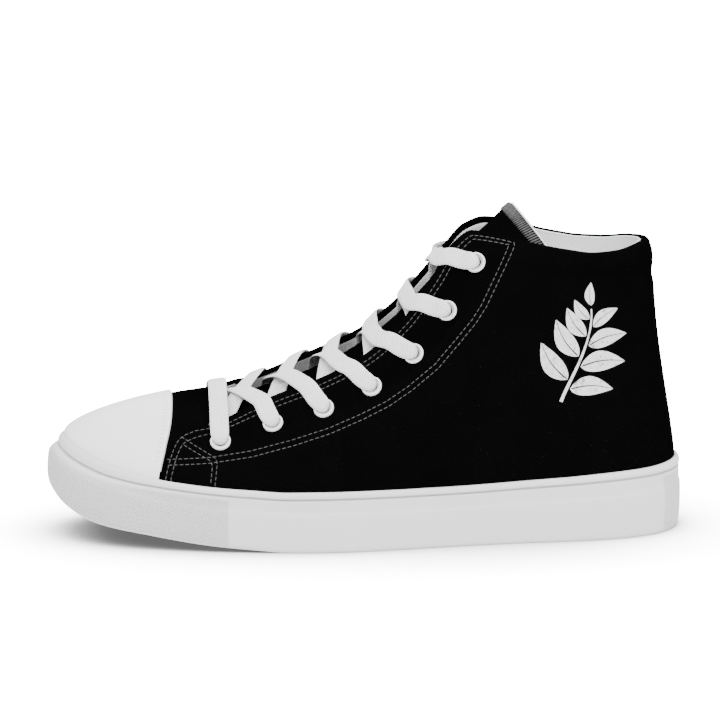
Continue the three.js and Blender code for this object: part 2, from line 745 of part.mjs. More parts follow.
function makeEyelet(seat) {
  const bore = EYELET_BORE / 2;
  const barrel = bore + EYELET_WALL;
  const rim = EYELET_OUTER / 2;
  const foot = FIT_GAP - CANVAS - QUARTER_STEP;
  const profile = [
    [bore, foot],
    [barrel, foot],
    [barrel, EYELET_SEAT],
    [rim, EYELET_SEAT],
    [mix(bore, rim, 0.5), EYELET_SEAT + EYELET_FLANGE],
    [bore, EYELET_SEAT + EYELET_FLANGE * 0.6],
    [bore, foot],
  ].map(([radius, height]) => new THREE.Vector2(radius, height));
  return turnTo(new THREE.LatheGeometry(profile, EYELET_SIDES), seat);
}

// Lace: a flat ribbon through a few points, each with the way its face looks
function ribbon(points, faces) {
  const steps = 2 * (points.length - 1);
  const path = new THREE.CatmullRomCurve3(points);
  const looks = new THREE.CatmullRomCurve3(faces);
  const rings = [];
  for (let n = 0; n <= steps; n += 1) {
    const point = path.getPoint(n / steps);
    const tangent = path.getTangent(n / steps);
    const face = looks.getPoint(n / steps);
    const wide = tangent.clone().cross(face).normalize();
    const thick = wide.clone().cross(tangent).normalize();
    rings.push([[-1, -1], [1, -1], [1, 1], [-1, 1]].map(([w, t]) => point.clone()
      .addScaledVector(wide, (w * LACE_WIDTH) / 2)
      .addScaledVector(thick, (t * LACE_THICKNESS) / 2)));
  }
  return ringSolid(rings);
}

const edgeSeat = (x, side) => seatAt(x, edgeHeight({ x }, side), side);

// From beside an eyelet to the throat's edge: three places above the quarter
function overQuarter(seat, edgeX) {
  const over = LACE_THICKNESS / 2 + LACE_CLEAR;
  const edge = edgeSeat(edgeX, seat.side);
  const away = edge.point.clone().sub(seat.point).normalize();
  const start = seat.point.clone().addScaledVector(away, EYELET_OUTER / 2 + FIT_GAP + LACE_CLEAR);
  const middle = start.clone().lerp(edge.point, 0.5);
  return [start, middle, edge.point].map((point) => {
    const seated = seatAt(point.x, point.z, seat.side);
    return { point: seated.point.clone().addScaledVector(seated.normal, over), normal: seated.normal };
  });
}

const strap = (places) => ribbon(places.map((place) => place.point), places.map((place) => place.normal));

function laceStrand(from, to, level) {
  const under = edgeSeat(mix(from.point.x, to.point.x, 1 / 3), from.side);
  const [end, half, over] = overQuarter(to, mix(from.point.x, to.point.x, 0.85));
  const start = under.point.clone();
  start.y += to.side * LACE_TUCK;
  const up = under.normal.clone().add(over.normal).normalize();
  const middle = start.clone().lerp(over.point, 0.5).addScaledVector(up, LACE_CROWN + level);
  return strap([{ point: start, normal: up }, { point: middle, normal: up }, over, half, end]);
}

function makeLaceBar(lateral, medial) {
  const [end, half, over] = overQuarter(lateral, lateral.point.x);
  const [farEnd, farHalf, farOver] = overQuarter(medial, medial.point.x);
  const up = over.normal.clone().add(farOver.normal).normalize();
  const middle = over.point.clone().lerp(farOver.point, 0.5);
  middle.z = riseAt(CREST[0].rise) + LACE_BAR_STAND;
  return strap([end, half, over, { point: middle, normal: up }, farOver, farHalf, farEnd]);
}

function makeCrossing(lower, upper) {
  const overlap = 0.35 * LACE_THICKNESS;
  const toLateral = laceStrand(lower[1], upper[0], overlap);
  const toMedial = laceStrand(lower[0], upper[1], -overlap);
  return toGeometry(toManifold(toLateral).add(toManifold(toMedial)));
}

const material = (name, roughness, metalness = 0) => new THREE.MeshStandardMaterial({
  color: COLORS[name], roughness, metalness,
});

// Pieces are moved so that the widest parts of the sole lie evenly about the origin
const reach = new THREE.Box3().setFromPoints(outline);
const toMiddle = -(reach.min.y + reach.max.y) / 2;

function part(name, geometry, look) {
  const mesh = new THREE.Mesh(geometry.translate(0, toMiddle, 0), look);
  mesh.name = name;
  return mesh;
}

const looks = {
  canvas: material('canvas', 0.95),
  coated: material('coated', 0.45),
  rubber: material('rubber', 0.6),
  footbed: material('footbed', 0.9),
  enamel: material('enamel', 0.3, 0.4),
  lace: material('lace', 0.9),
};

const shoe = new THREE.Group();
shoe.name = 'high_top_sneaker';
shoe.add(part('sole', makeSole(), looks.rubber));
shoe.add(part('insole', makeInsole(), looks.footbed));
shoe.add(part('upper', makeUpper(), looks.canvas));
shoe.add(part('toe_cap', makeToeCap(), looks.coated));
shoe.add(part('tongue', patchSolid(...tongueGrids()), looks.canvas));
const seats = eyeletSeats();
for (const seat of seats) shoe.add(part(seat.name, makeEyelet(seat), looks.enamel));
const pairs = EYELETS.map((_, n) => [seats[2 * n], seats[2 * n + 1]]);
shoe.add(part('lace_bar', makeLaceBar(...pairs[0]), looks.lace));
for (let n = 1; n < pairs.length; n += 1) {
  shoe.add(part(`lace_crossing_${n}`, makeCrossing(pairs[n - 1], pairs[n]), looks.lace));
}

export default shoe;
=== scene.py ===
"""High top canvas sneaker, left shoe: the looks of every piece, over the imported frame.

Shapes are worked out in millimetres with the function of the last that the solids come from, and are
turned into metres when a piece is made. The toe points to -X and the lateral side faces -Y.
"""

import bpy
import numpy as np
from mathutils import Matrix, Vector


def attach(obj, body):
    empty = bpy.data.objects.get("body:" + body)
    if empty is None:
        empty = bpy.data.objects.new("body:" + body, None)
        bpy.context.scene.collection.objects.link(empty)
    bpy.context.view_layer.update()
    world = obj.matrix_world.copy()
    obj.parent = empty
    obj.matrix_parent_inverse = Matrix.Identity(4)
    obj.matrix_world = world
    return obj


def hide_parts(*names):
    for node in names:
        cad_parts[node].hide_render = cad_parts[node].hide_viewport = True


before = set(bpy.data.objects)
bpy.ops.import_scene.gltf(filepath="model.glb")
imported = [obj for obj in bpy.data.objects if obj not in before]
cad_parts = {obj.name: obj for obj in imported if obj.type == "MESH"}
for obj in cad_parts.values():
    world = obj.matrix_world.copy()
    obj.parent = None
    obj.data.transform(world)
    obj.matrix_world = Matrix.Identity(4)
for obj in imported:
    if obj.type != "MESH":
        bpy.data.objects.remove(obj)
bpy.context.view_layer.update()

MM = 0.001

# Overall sizes, as in the solids
SHOE_LENGTH = 295
BALL_WIDTH = 106
HEEL_WIDTH = 77
SOLE_HEIGHT = 27.5
TOE_SPRING = 23
UPPER_HEIGHT = 104

# Walls, steps and clearances
CANVAS = 1.8
QUARTER_STEP = 0.7
COLLAR_PADDING = 3.2
COLLAR_ROLL = 2
CAP_THICKNESS = 1.2
EYESTAY_FLARE = 2.2
FIT_GAP = 0.3
FLARE_REACH = 22
ROLL_REACH = 9
ROLL_BULK = 2.6
QUARTER_RUN = 500
QUARTER_ROUND = 0.7
QUARTER_FINEST = 0.2
EDGE_CURVE = 2.5
EDGE_SINK = 0.5
PADDING_FULL = 18
PADDING_END = 42
FEATHER_INSET = 3.6
TOE_RIM_INSET = 9.5
FLOOR_FOREFOOT = 12
FLOOR_HEEL = 17
CUP_TAPER = 2.2
WALL_GRIP = 0.5
SKIRT = 3
BACK_SEAM = 0.5
BACK_SEAM_HALF = 1

# How far the vamp runs on under the quarters, as a share of the way round
VAMP_LAP = 0.02

# Distances from the cap's back edge at which it rounds down, and its rows of needle holes: gap from
# the edge, and points left out at the row's start
CAP_EDGE = (2.2, 1.4, 0.9, 0.6, 0.35, 0.15, 0.03, 0)
PINHOLE_ROWS = ((2.3, 0), (3.7, 2))
PINHOLE_PITCH = 2.4
PINHOLE_RADIUS = 0.27
RIB_PART = 0.04

# Sole
TREAD_DEPTH = 2
TREAD_MARGIN = 8
TREAD_SLOT = 3
TREAD_PITCH = 13
TREAD_ZONES = ((-0.4, -0.03), (0.24, 0.43))
ARCH_MIDDLE = 0.1
ARCH_REACH = 0.19
ARCH_SOFT = 0.6
SLOT_SOFT = 0.35

# Moulded relief of the side wall: the knurl ends and the heel's ribs start at these places. The pairs
# are shares of the wall's height, at the waist and at the toe
KNURL_END = -66
RIBS_START = 136
KNURL_PITCH = 1.9
RELIEF_TOP = (0.8, 0.7)
RELIEF_END = (0.85, 0.78)
# The groove's height and half width also place the painted shade line along it.
GROOVE_HEIGHT = (0.885, 0.812)
GROOVE_HALF = 0.42

# Insole and tongue
INSOLE_THICKNESS = 5
TONGUE_THICKNESS = 3.2
TONGUE_EASE = 1.4
TONGUE_LENGTH = 180
TONGUE_THIN = 0.45
TONGUE_TAPER = (1.0, 0.965)
TONGUE_HEM = 4.4
HEM_PITCH = 1.25
HEM_LEAN = 0.9
HEM_THREAD = 0.85
FOOTBED_CUP = 2.2
FOOTBED_DIP = 1.2

# Eyelets and lace
EYELET_OUTER = 9.4
EYELET_BORE = 5
EYELET_FLANGE = 1.4
EYELET_ROLL = 1.3
LACE_WIDTH = 8.4
LACE_THICKNESS = 1.2
LACE_COLUMNS = 9
LACE_CROWN = 2.5
LACE_CLEAR = 0.35
LACE_BAR_STAND = 3.5
LACE_PARTING = 0.55
UNDER_STAND = 0.9
UNDER_CROSSING = 0.04
EDGE_CROSSING = (0.8, 0.05)

# Stitches and hems
STITCH_LENGTH = 2.2
STITCH_PITCH = 2.6
STITCH_THICKNESS = 0.38
ROW_GAP = 2.3
HEM_INSIDE = 4.2
LINING_STAND = 0.28
THROAT_HEM = 1.6

# Print on the ankle. Each leaf has its start on the stem, its side, its turn from it and its length
SPRIG_MIDDLE = (93.5, 85.5)
SPRIG_HEIGHT = 43
SPRIG_BEND = 9
SPRIG_TURN = 2.4
SPRIG_START = 0.6
SPRIG_STEM = (0.75, 0.3)
LEAF_WIDTH = 0.22
LEAF_BOW = 0.08
LEAF_RIB = 0.055
LEAF_STALK = 1.6
PRINT_STAND = 0.06
SPRIG_LEAVES = (
    (0.13, 1, 66, 20),
    (0.2, -1, 62, 21),
    (0.36, 1, 60, 21),
    (0.44, -1, 56, 20),
    (0.57, 1, 55, 18.5),
    (0.65, -1, 50, 16),
    (0.76, 1, 46, 14),
    (0.83, -1, 42, 11.5),
    (0.97, 1, 4, 10.5),
)

# Floor: half its size and the reach of the painted shadow round the shoe, in metres, then how that painted
# shadow falls off
FLOOR_HALF = 6
SHADE_REACH = 0.09
SHADE_POWER = 3.4
FLOOR_LIGHT = 22
FLOOR_LEAST = 0.15

# Strength of the light from all round, and of the ground behind the shoe
WORLD_LIGHT = 1.05
WORLD_BEHIND = 30

# Lamps, in metres and watts
LIGHT_TARGET = (0, 0, 0.06)
LIGHTS = {
    "key": {"place": (-0.5, -0.9, 1.3), "size": (1.2, 0.9), "power": 34},
    "fill": {"place": (0.9, -0.8, 0.7), "size": (0.8, 0.8), "power": 14},
    "top": {"place": (0.1, -0.1, 1.5), "size": (1.2, 1.2), "power": 22},
    "rim": {"place": (0.2, 1.1, 1.1), "size": (1.4, 0.6), "power": 14},
}

# Camera: degrees, metres, and the photo's scale in pixels for each millimetre at the target
CAMERA_AZIMUTH = -4.76
CAMERA_ELEVATION = 10
CAMERA_DISTANCE = 1.4
CAMERA_AIM = (-2.73, 78.44)
CAMERA_SENSOR = 36
PHOTO_SIZE = 720
PHOTO_SCALE = 2.166

# Skeleton of the last: two poles that the toe and the heel fan out from
TOE_POLE = -0.186 * SHOE_LENGTH
HEEL_POLE = 0.322 * SHOE_LENGTH
HEEL_FAN = 0.22
TOE_FAN = 0.33
VAMP_EDGE = -0.232 * SHOE_LENGTH
SQUEEZE_TOP = 0.76
SQUEEZE_CURVE = 1.25

# Where one form turns into another, as shares of the length
HEEL_TO_BALL = (0.25, -0.05)
TOE_START = (-0.27, -0.47)
FLOOR_RISE = (-0.05, 0.25)
FLARE_START = (-0.25, -0.19)
FLARE_END = (0.26, 0.17)
COLLAR_START = (0.2, 0.29)
LINING_START = (0.215, 0.245)
CAP_START = (-0.28, -0.32)
FOOTBED_HEEL = (0.1, 0.35)

# Points of each grid: up or along, then round or across
QUARTER_GRID = (96, 440)
VAMP_GRID = (60, 260)
LINING_GRID = (60, 481)
CAP_GRID = (70, 300)
WALL_STEPS = 761
TREAD_GRID = (800, 90)
INSOLE_GRID = (220, 60)
TONGUE_GRID = (110, 61)
LACE_STEPS = 130

STATIONS = 1440
HALVINGS = 30
OUTLINE_STEPS = 1920


def table(names, *rows):
    return dict(zip(names.split(), np.array(rows, float).T))


# Outline of the sole seen from above: along is a share of the length, across of the width there
OUTLINE = table(
    "along across",
    (0.5, 0),
    (0.486, -0.205),
    (0.452, -0.362),
    (0.39, -0.476),
    (0.32, -0.522),
    (0.22, -0.545),
    (0.12, -0.521),
    (0.02, -0.503),
    (-0.075, -0.507),
    (-0.17, -0.486),
    (-0.254, -0.45),
    (-0.339, -0.393),
    (-0.407, -0.322),
    (-0.458, -0.226),
    (-0.489, -0.105),
    (-0.5, 0.05),
    (-0.489, 0.195),
    (-0.458, 0.296),
    (-0.407, 0.367),
    (-0.339, 0.423),
    (-0.254, 0.463),
    (-0.153, 0.486),
    (-0.068, 0.46),
    (0.02, 0.405),
    (0.1, 0.4),
    (0.2, 0.445),
    (0.305, 0.49),
    (0.384, 0.462),
    (0.452, 0.345),
    (0.486, 0.196),
)

# Height of the sole's lower edge, as a share of the toe spring
SPRING = table(
    "along lift",
    (-0.5, 1),
    (-0.478, 0.74),
    (-0.427, 0.455),
    (-0.345, 0.29),
    (-0.254, 0.125),
    (-0.186, 0.05),
    (-0.13, 0),
    (0.5, 0),
)

# Height of the sole's side wall, as a share of its height at the waist
WALL = table(
    "along height",
    (-0.478, 1.12),
    (-0.434, 1.08),
    (-0.397, 1.01),
    (-0.342, 0.96),
    (-0.251, 0.975),
    (-0.075, 1),
    (0.1, 1),
    (0.295, 1.075),
    (0.373, 1.125),
    (0.43, 1.15),
    (0.49, 1.195),
)

# Section of the side wall, from the floor to the rim
WALL_SECTION = table(
    "height inset toe_height toe_inset",
    (0, 1.6, 0, 1.6),
    (0.05, 0.5, 0.05, 0.5),
    (0.3, 0, 0.25, 0),
    (0.625, 0.05, 0.62, 0.7),
    (0.668, 0.85, 0.7, 1.7),
    (0.865, 0.8, 0.79, 4.3),
    (0.88, 1.4, 0.81, 5.6),
    (0.9, 0.6, 0.84, 5.2),
    (0.955, 0.6, 0.95, 6.1),
    (1, 1.5, 1, 7.6),
)

# Crest of the last over the skeleton
CREST = table(
    "along rise lean",
    (-0.186, 0.372, 0.085),
    (-0.136, 0.425, 0.085),
    (-0.075, 0.505, 0.075),
    (-0.007, 0.615, 0.066),
    (0.054, 0.775, 0.057),
    (0.098, 0.945, 0.047),
    (0.136, 1.09, 0.038),
    (0.163, 1.155, 0.033),
    (0.197, 1.195, 0.028),
    (0.231, 1.225, 0.02),
    (0.322, 1.27, 0),
)

# Section of the last from the feather line to the crest
SECTION = table(
    "along squeeze fullness crown",
    (-0.478, 0, 1.5, 1.6),
    (-0.339, 0.02, 1.7, 1.8),
    (-0.186, 0.08, 2, 2),
    (-0.075, 0.08, 2.2, 2),
    (-0.007, 0.08, 2.5, 2),
    (0.054, 0.09, 3, 2),
    (0.136, 0.12, 4.5, 2),
    (0.203, 0.15, 8, 2),
    (0.322, 0.18, 12, 2),
    (0.488, 0.235, 14, 2),
)

# Free edge of the upper seen from the side, as shares of the upper's height: throat, then collar
EDGE = table(
    "along lateral medial",
    (-0.237, 0.264, 0.337),
    (-0.197, 0.299, 0.38),
    (-0.146, 0.354, 0.421),
    (-0.075, 0.433, 0.49),
    (-0.007, 0.534, 0.577),
    (0.054, 0.688, 0.712),
    (0.098, 0.86, 0.851),
    (0.136, 1.026, 0.981),
    (0.163, 1.079, 1.063),
    (0.197, 1.073, 1.096),
    (0.237, 1.053, 1.082),
    (0.305, 1.015, 1.038),
    (0.346, 0.998, 1.019),
    (0.383, 1.002, 1.016),
    (0.424, 1.025, 1.03),
    (0.451, 1.038, 1.038),
)

# Front edge of the quarters and back edge of the toe cap, seen from the side
QUARTER_FRONT = table(
    "rise along",
    (-0.3, -0.337),
    (0.035, -0.322),
    (0.132, -0.313),
    (0.212, -0.297),
    (0.248, -0.267),
    (0.272, -0.23),
    (2, -0.19),
)
CAP_BACK = table(
    "rise along",
    (-0.3, -0.331),
    (0.038, -0.326),
    (0.163, -0.316),
    (0.265, -0.306),
    (0.335, -0.303),
    (2, -0.303),
)

# Eyelet centres seen from the side
EYELETS = table(
    "along lateral medial",
    (-0.2325, 0.194, 0.263),
    (-0.151, 0.264, 0.33),
    (-0.0735, 0.331, 0.393),
    (0, 0.426, 0.473),
    (0.0645, 0.568, 0.597),
    (0.116, 0.753, 0.762),
    (0.161, 0.956, 0.95),
)

# Middle and side edge of the tongue seen from the side, from its front end to its top
TONGUE = table(
    "run along rise side_along side_rise",
    (0, -0.262, 0.293, -0.23, 0.15),
    (0.1, -0.195, 0.33, -0.17, 0.2),
    (0.22, -0.136, 0.38, -0.107, 0.255),
    (0.34, -0.075, 0.447, -0.044, 0.33),
    (0.47, -0.007, 0.553, 0.022, 0.43),
    (0.6, 0.054, 0.692, 0.085, 0.555),
    (0.71, 0.098, 0.827, 0.14, 0.7),
    (0.82, 0.14, 0.965, 0.193, 0.83),
    (0.92, 0.188, 1.08, 0.242, 0.93),
    (1, 0.225, 1.19, 0.282, 0.985),
)


# Numbers and tables


def mix(a, b, t):
    return a + (b - a) * t


def smooth(low, high, at):
    t = np.clip((np.asarray(at, float) - low) / (high - low), 0, 1)
    return t * t * (3 - 2 * t)


def read(rows, name, at, key="along"):
    """Smooth curve through one column of a table, with no overshoot between its rows."""
    keys, values = rows[key], rows[name]
    at = np.clip(at, keys[0], keys[-1])
    width = np.diff(keys)
    slope = np.diff(values) / width
    both = slope[:-1] * slope[1:]
    total = np.where(both > 0, slope[:-1] + slope[1:], 1)
    tangent = np.concatenate([slope[:1], np.where(both > 0, 2 * both / total, 0), slope[-1:]])
    i = np.clip(np.searchsorted(keys, at, side="right") - 1, 0, len(keys) - 2)
    t = (at - keys[i]) / width[i]
    bend = tangent[i] * (1 - t) - tangent[i + 1] * t
    return mix(values[i], values[i + 1], t * t * (3 - 2 * t)) + width[i] * t * (1 - t) * bend


def length(vectors):
    return np.linalg.norm(vectors, axis=-1)


def unit(vectors):
    return vectors / np.maximum(length(vectors), 1e-9)[..., None]


def spot(*columns):
    """Columns side by side, as the last axis."""
    return np.stack(columns, axis=-1)


def run_along(points):
    """Distance covered at each point of a polyline."""
    return np.concatenate([[0], np.cumsum(length(np.diff(points, axis=0)))])


def picked(rows, run, places):
    """Rows of numbers, read between their own places along a run."""
    return np.stack([np.interp(places, run, column) for column in rows.T], axis=-1)


def halved(low, high, past):
    """Where a test turns true between two arrays, found by halving the gap."""
    for _ in range(HALVINGS):
        middle = (low + high) / 2
        over = past(middle)
        high = np.where(over, middle, high)
        low = np.where(over, low, middle)
    return (low + high) / 2


def share(x):
    return x / SHOE_LENGTH


def rise_at(rise):
    return SOLE_HEIGHT + UPPER_HEIGHT * rise


def spring_at(x):
    return TOE_SPRING * read(SPRING, "lift", share(x))


def feather_at(x):
    return spring_at(x) + SOLE_HEIGHT * read(WALL, "height", share(x))


def toe_blend(x):
    return smooth(*TOE_START, share(x))


def floor_at(x):
    return spring_at(x) + mix(FLOOR_FOREFOOT, FLOOR_HEEL, smooth(*FLOOR_RISE, share(x)))


# Outline


def curve_through(points, steps):
    """Centripetal Catmull-Rom curve through all rows but the first and the last."""
    a, b, c, d = points[:-3], points[1:-2], points[2:-1], points[3:]
    spans = [length((q - p)[:, :3])[:, None] ** 0.5 for p, q in ((a, b), (b, c), (c, d))]
    first, middle, last = (np.maximum(span, 1e-6) for span in spans)
    leave = ((b - a) / first - (c - a) / (first + middle) + (c - b) / middle) * middle
    arrive = ((c - b) / middle - (d - b) / (middle + last) + (d - c) / last) * middle
    t = (np.arange(steps) / steps)[None, :, None]
    bend = leave[:, None] * (1 - t) - arrive[:, None] * t
    curve = mix(b[:, None], c[:, None], t * t * (3 - 2 * t)) + t * (1 - t) * bend
    return curve.reshape(-1, points.shape[1])


def spaced(rows, count):
    """Rows evenly spaced along the line that they draw, and the distance to each."""
    run = run_along(rows[:, :3])
    places = np.linspace(0, run[-1], count)
    return picked(rows, run, places), places


def make_outline():
    width = mix(HEEL_WIDTH, BALL_WIDTH, smooth(*HEEL_TO_BALL, OUTLINE["along"]))
    corners = spot(OUTLINE["along"] * SHOE_LENGTH, OUTLINE["across"] * width)
    loop = curve_through(np.concatenate([corners[-1:], corners, corners[:2]]), 64)
    return spaced(np.concatenate([loop, loop[:1]]), OUTLINE_STEPS + 1)[0]


outline = make_outline()
TO_MIDDLE = -(outline[:, 1].min() + outline[:, 1].max()) / 2


# Stations go round the shoe with u: 0 at the heel, 0.25 lateral, 0.5 at the toe, 0.75 medial

POINTS = "axis_x axis_y base_x base_y outer_x outer_y normal_x normal_y"
FIELDS = (POINTS + " feather crest squeeze fullness crown top").split()


def outline_normals():
    loop = outline[:-1]
    along = np.roll(loop, -12, axis=0) - np.roll(loop, 12, axis=0)
    normals = unit(spot(-along[:, 1], along[:, 0]))
    return np.concatenate([normals, normals[:1]])


def outline_hits(axis, direction):
    """Where rays from the skeleton leave the outline, and the outline's own normals there."""
    reach = outline[None] - axis[:, None]
    side = reach[..., 0] * direction[:, None, 1] - reach[..., 1] * direction[:, None, 0]
    ahead = reach[..., 0] * direction[:, None, 0] + reach[..., 1] * direction[:, None, 1]
    crossed = ((side[:, :-1] > 0) != (side[:, 1:] > 0)) & (ahead[:, :-1] > 0)
    i = crossed.argmax(axis=1)
    rows = np.arange(len(axis))
    part = (side[rows, i] / (side[rows, i] - side[rows, i + 1]))[:, None]
    normals = outline_normals()
    return mix(outline[i], outline[i + 1], part), unit(mix(normals[i], normals[i + 1], part))


def make_stations():
    turn = np.arange(STATIONS + 1) / STATIONS
    side = np.where(turn < 0.5, -1, 1)
    t = np.where(turn < 0.5, 2 * turn, 2 * (1 - turn))
    x = mix(HEEL_POLE, TOE_POLE, np.clip((t - HEEL_FAN) / (1 - HEEL_FAN - TOE_FAN), 0, 1))
    quarter = np.where(t < HEEL_FAN, t / HEEL_FAN, 1 + np.maximum(0, t - 1 + TOE_FAN) / TOE_FAN)
    angle = quarter * np.pi / 2
    axis = spot(x, BALL_WIDTH * read(CREST, "lean", share(x)))
    direction = spot(np.cos(angle), side * np.sin(angle))
    outer, normal = outline_hits(axis, direction)
    inset = mix(FEATHER_INSET, TOE_RIM_INSET, toe_blend(outer[:, 0]))
    base = outer - normal * inset[:, None]
    columns = [axis, base, outer, normal]
    columns += [feather_at(base[:, 0])[:, None], rise_at(read(CREST, "rise", share(x)))[:, None]]
    columns += [read(SECTION, name, share(base[:, 0]))[:, None] for name in ("squeeze", "fullness", "crown")]
    return np.concatenate(columns + [np.ones_like(x)[:, None]], axis=1)


stations = make_stations()


def at(u):
    place = np.mod(u, 1) * STATIONS
    i = np.minimum(place.astype(int), STATIONS - 1)
    values = mix(stations[i], stations[i + 1], (place - i)[..., None])
    return dict(zip(FIELDS, np.moveaxis(values, -1, 0)))


def drawn_in(place, line, inward, z):
    """The outer or the base line round the shoe, drawn in by a distance, at a height."""
    x = place[line + "_x"] - place["normal_x"] * inward
    y = place[line + "_y"] - place["normal_y"] * inward
    return spot(x, y, z)


def width_left(place, zeta):
    drawn = np.sin((np.pi / 2) * np.clip(zeta / SQUEEZE_TOP, 0, 1)) ** SQUEEZE_CURVE
    over = np.maximum(0, 1 - np.maximum(zeta, 0) ** place["fullness"]) ** (1 / place["crown"])
    return (1 - place["squeeze"] * drawn) * over


def last_point(u, zeta):
    """Point of the last at station u and height zeta: 0 at the feather line, 1 on the crest."""
    u, zeta = np.broadcast_arrays(np.asarray(u, float), np.asarray(zeta, float))
    place = at(u)
    kept = width_left(place, zeta)
    x = mix(place["axis_x"], place["base_x"], kept)
    y = mix(place["axis_y"], place["base_y"], kept)
    return spot(x, y, mix(place["feather"], place["crest"], zeta))


def last_normal(u, zeta):
    u, zeta = np.broadcast_arrays(np.asarray(u, float), np.asarray(zeta, float))
    low = np.clip(zeta, 0.002, 0.996) - 0.002
    along = last_point(u + 0.002, low) - last_point(u - 0.002, low)
    up = last_point(u, low + 0.004) - last_point(u, low)
    return unit(np.cross(up, along))


def side_of(u):
    return np.where(np.mod(u, 1) < 0.5, -1, 1)


def edge_height(x, side):
    lateral = rise_at(read(EDGE, "lateral", share(x)))
    medial = rise_at(read(EDGE, "medial", share(x)))
    return np.where(side < 0, lateral, medial)


def find_tops():
    u = np.arange(STATIONS + 1) / STATIONS

    def past_edge(zeta):
        point = last_point(u, zeta)
        return (point[:, 0] >= VAMP_EDGE) & (point[:, 2] >= edge_height(point[:, 0], side_of(u)))

    return halved(np.zeros_like(u), np.ones_like(u), past_edge)


stations[:, -1] = find_tops()


def collar_at(x):
    return smooth(*COLLAR_START, share(x))


# Soft troughs in the canvas: where each starts and ends is seen from the side
CREASES = table(
    "side x z to_x to_z width depth",
    (-1, 84, 121.5, 100, 121, 3.2, 0.55),
    (-1, 100, 121, 118, 119.5, 3.2, 0.75),
    (-1, 118, 119.5, 136, 118.5, 3.2, 0.8),
    (1, 84, 121.5, 100, 121, 3.2, 0.55),
    (1, 100, 121, 118, 119.5, 3.2, 0.75),
    (1, 118, 119.5, 136, 118.5, 3.2, 0.8),
    (-1, 78, 96, 104, 88, 9, 0.5),
    (-1, 70, 78, 96, 66, 10, 0.45),
    (-1, 60, 60, 84, 50, 9, 0.4),
    (1, 76, 92, 104, 86, 9, 0.5),
    (1, 68, 74, 98, 64, 10, 0.45),
    (-1, -60, 38, -34, 42, 6, 0.3),
    (1, -60, 40, -30, 44, 6, 0.35),
)


def dents_at(points, side):
    """How far the creases draw the wall in."""
    x, z = points[..., 0], points[..., 2]
    depth = np.zeros_like(x)
    for n in range(len(CREASES["x"])):
        crease = {name: values[n] for name, values in CREASES.items()}
        run_x, run_z = crease["to_x"] - crease["x"], crease["to_z"] - crease["z"]
        reach = np.hypot(run_x, run_z)
        along = ((x - crease["x"]) * run_x + (z - crease["z"]) * run_z) / reach**2
        across = ((z - crease["z"]) * run_x - (x - crease["x"]) * run_z) / reach
        ends = np.maximum(0, np.maximum(-along, along - 1)) * reach
        away = (across**2 + ends**2) / crease["width"] ** 2
        depth += crease["depth"] * np.exp(-away) * (side == crease["side"])
    return depth + BACK_SEAM * np.exp(-((points[..., 1] / BACK_SEAM_HALF) ** 2)) * (x > HEEL_POLE)


def skin_point(u, zeta, offset, inner=False):
    """Point of the upper's wall: the eyestays flare, and the collar is padded inside and rolled outside."""
    u, zeta = np.broadcast_arrays(np.asarray(u, float), np.asarray(zeta, float))
    point = last_point(u, zeta)
    x = point[..., 0]
    left = length(point - last_point(u, at(u)["top"]))
    flare = EYESTAY_FLARE * smooth(*FLARE_START, share(x)) * smooth(*FLARE_END, share(x))
    lift = offset + flare * (1 - smooth(0, FLARE_REACH, left)) - dents_at(point, side_of(u))
    if inner:
        lift = lift - COLLAR_PADDING * collar_at(x) * smooth(PADDING_END, PADDING_FULL, left)
    else:
        lift = lift - COLLAR_ROLL * collar_at(x) * (1 - np.clip(left / ROLL_REACH, 0, 1)) ** 2
    return point + last_normal(u, zeta) * lift[..., None]


def rib_at(x, z, side):
    """Station and height of the rib that passes points seen from the side."""
    x, z, side = np.broadcast_arrays(np.asarray(x, float), np.asarray(z, float), side)

    def height_on(u):
        place = at(u)
        return np.clip((z - place["feather"]) / (place["crest"] - place["feather"]), 0, 1)

    def past_rib(u):
        return (last_point(u, height_on(u))[..., 0] > x) != (side < 0)

    low = np.where(side < 0, 0.0, 0.5)
    u = halved(low, low + 0.5, past_rib)
    return u, height_on(u)


def seat_at(x, z, side, offset=QUARTER_STEP):
    u, zeta = rib_at(x, z, side)
    return skin_point(u, zeta, offset), last_normal(u, zeta)


# Meshes


def make_piece(name, points, faces, uvs=None, shares=None):
    """A mesh object from points in millimetres, with texture coordinates in millimetres and named shares."""
    mesh = bpy.data.meshes.new(name)
    moved = (points.reshape(-1, 3) + (0, TO_MIDDLE, 0)) * MM
    mesh.from_pydata(moved.tolist(), [], faces.tolist())
    if uvs is not None:
        layer = mesh.uv_layers.new(name="cloth")
        corner = np.zeros(len(mesh.loops), int)
        mesh.loops.foreach_get("vertex_index", corner)
        layer.data.foreach_set("uv", uvs.reshape(-1, 2)[corner].ravel())
    for label, values in (shares or {}).items():
        attribute = mesh.attributes.new(label, "FLOAT", "POINT")
        attribute.data.foreach_set("value", values.ravel().astype(float))
    mesh.update()
    mesh.shade_smooth()
    piece = bpy.data.objects.new(name, mesh)
    bpy.context.scene.collection.objects.link(piece)
    return piece


def grid_faces(rows, columns, joined=False, flip=False, start=0):
    """Quads of a grid of points, a row at a time; joined closes each row into a ring."""
    i = np.arange(columns if joined else columns - 1)
    j = np.arange(rows - 1)[:, None]
    near, far = j * columns + i, j * columns + (i + 1) % columns
    quads = np.stack([near, far, far + columns, near + columns], axis=-1).reshape(-1, 4)
    return (quads[:, ::-1] if flip else quads) + start


def run_of(points, axis):
    steps = length(np.diff(points, axis=axis))
    pad = [(0, 0)] * steps.ndim
    pad[axis] = (1, 0)
    return np.cumsum(np.pad(steps, pad), axis=axis)


def cloth_uvs(points):
    """Texture coordinates that follow a grid's own lengths, so that a weave keeps its scale."""
    middle = run_of(points, 1)[len(points) // 2]
    up = run_of(points, 0)
    return spot(np.broadcast_to(middle, up.shape), up)


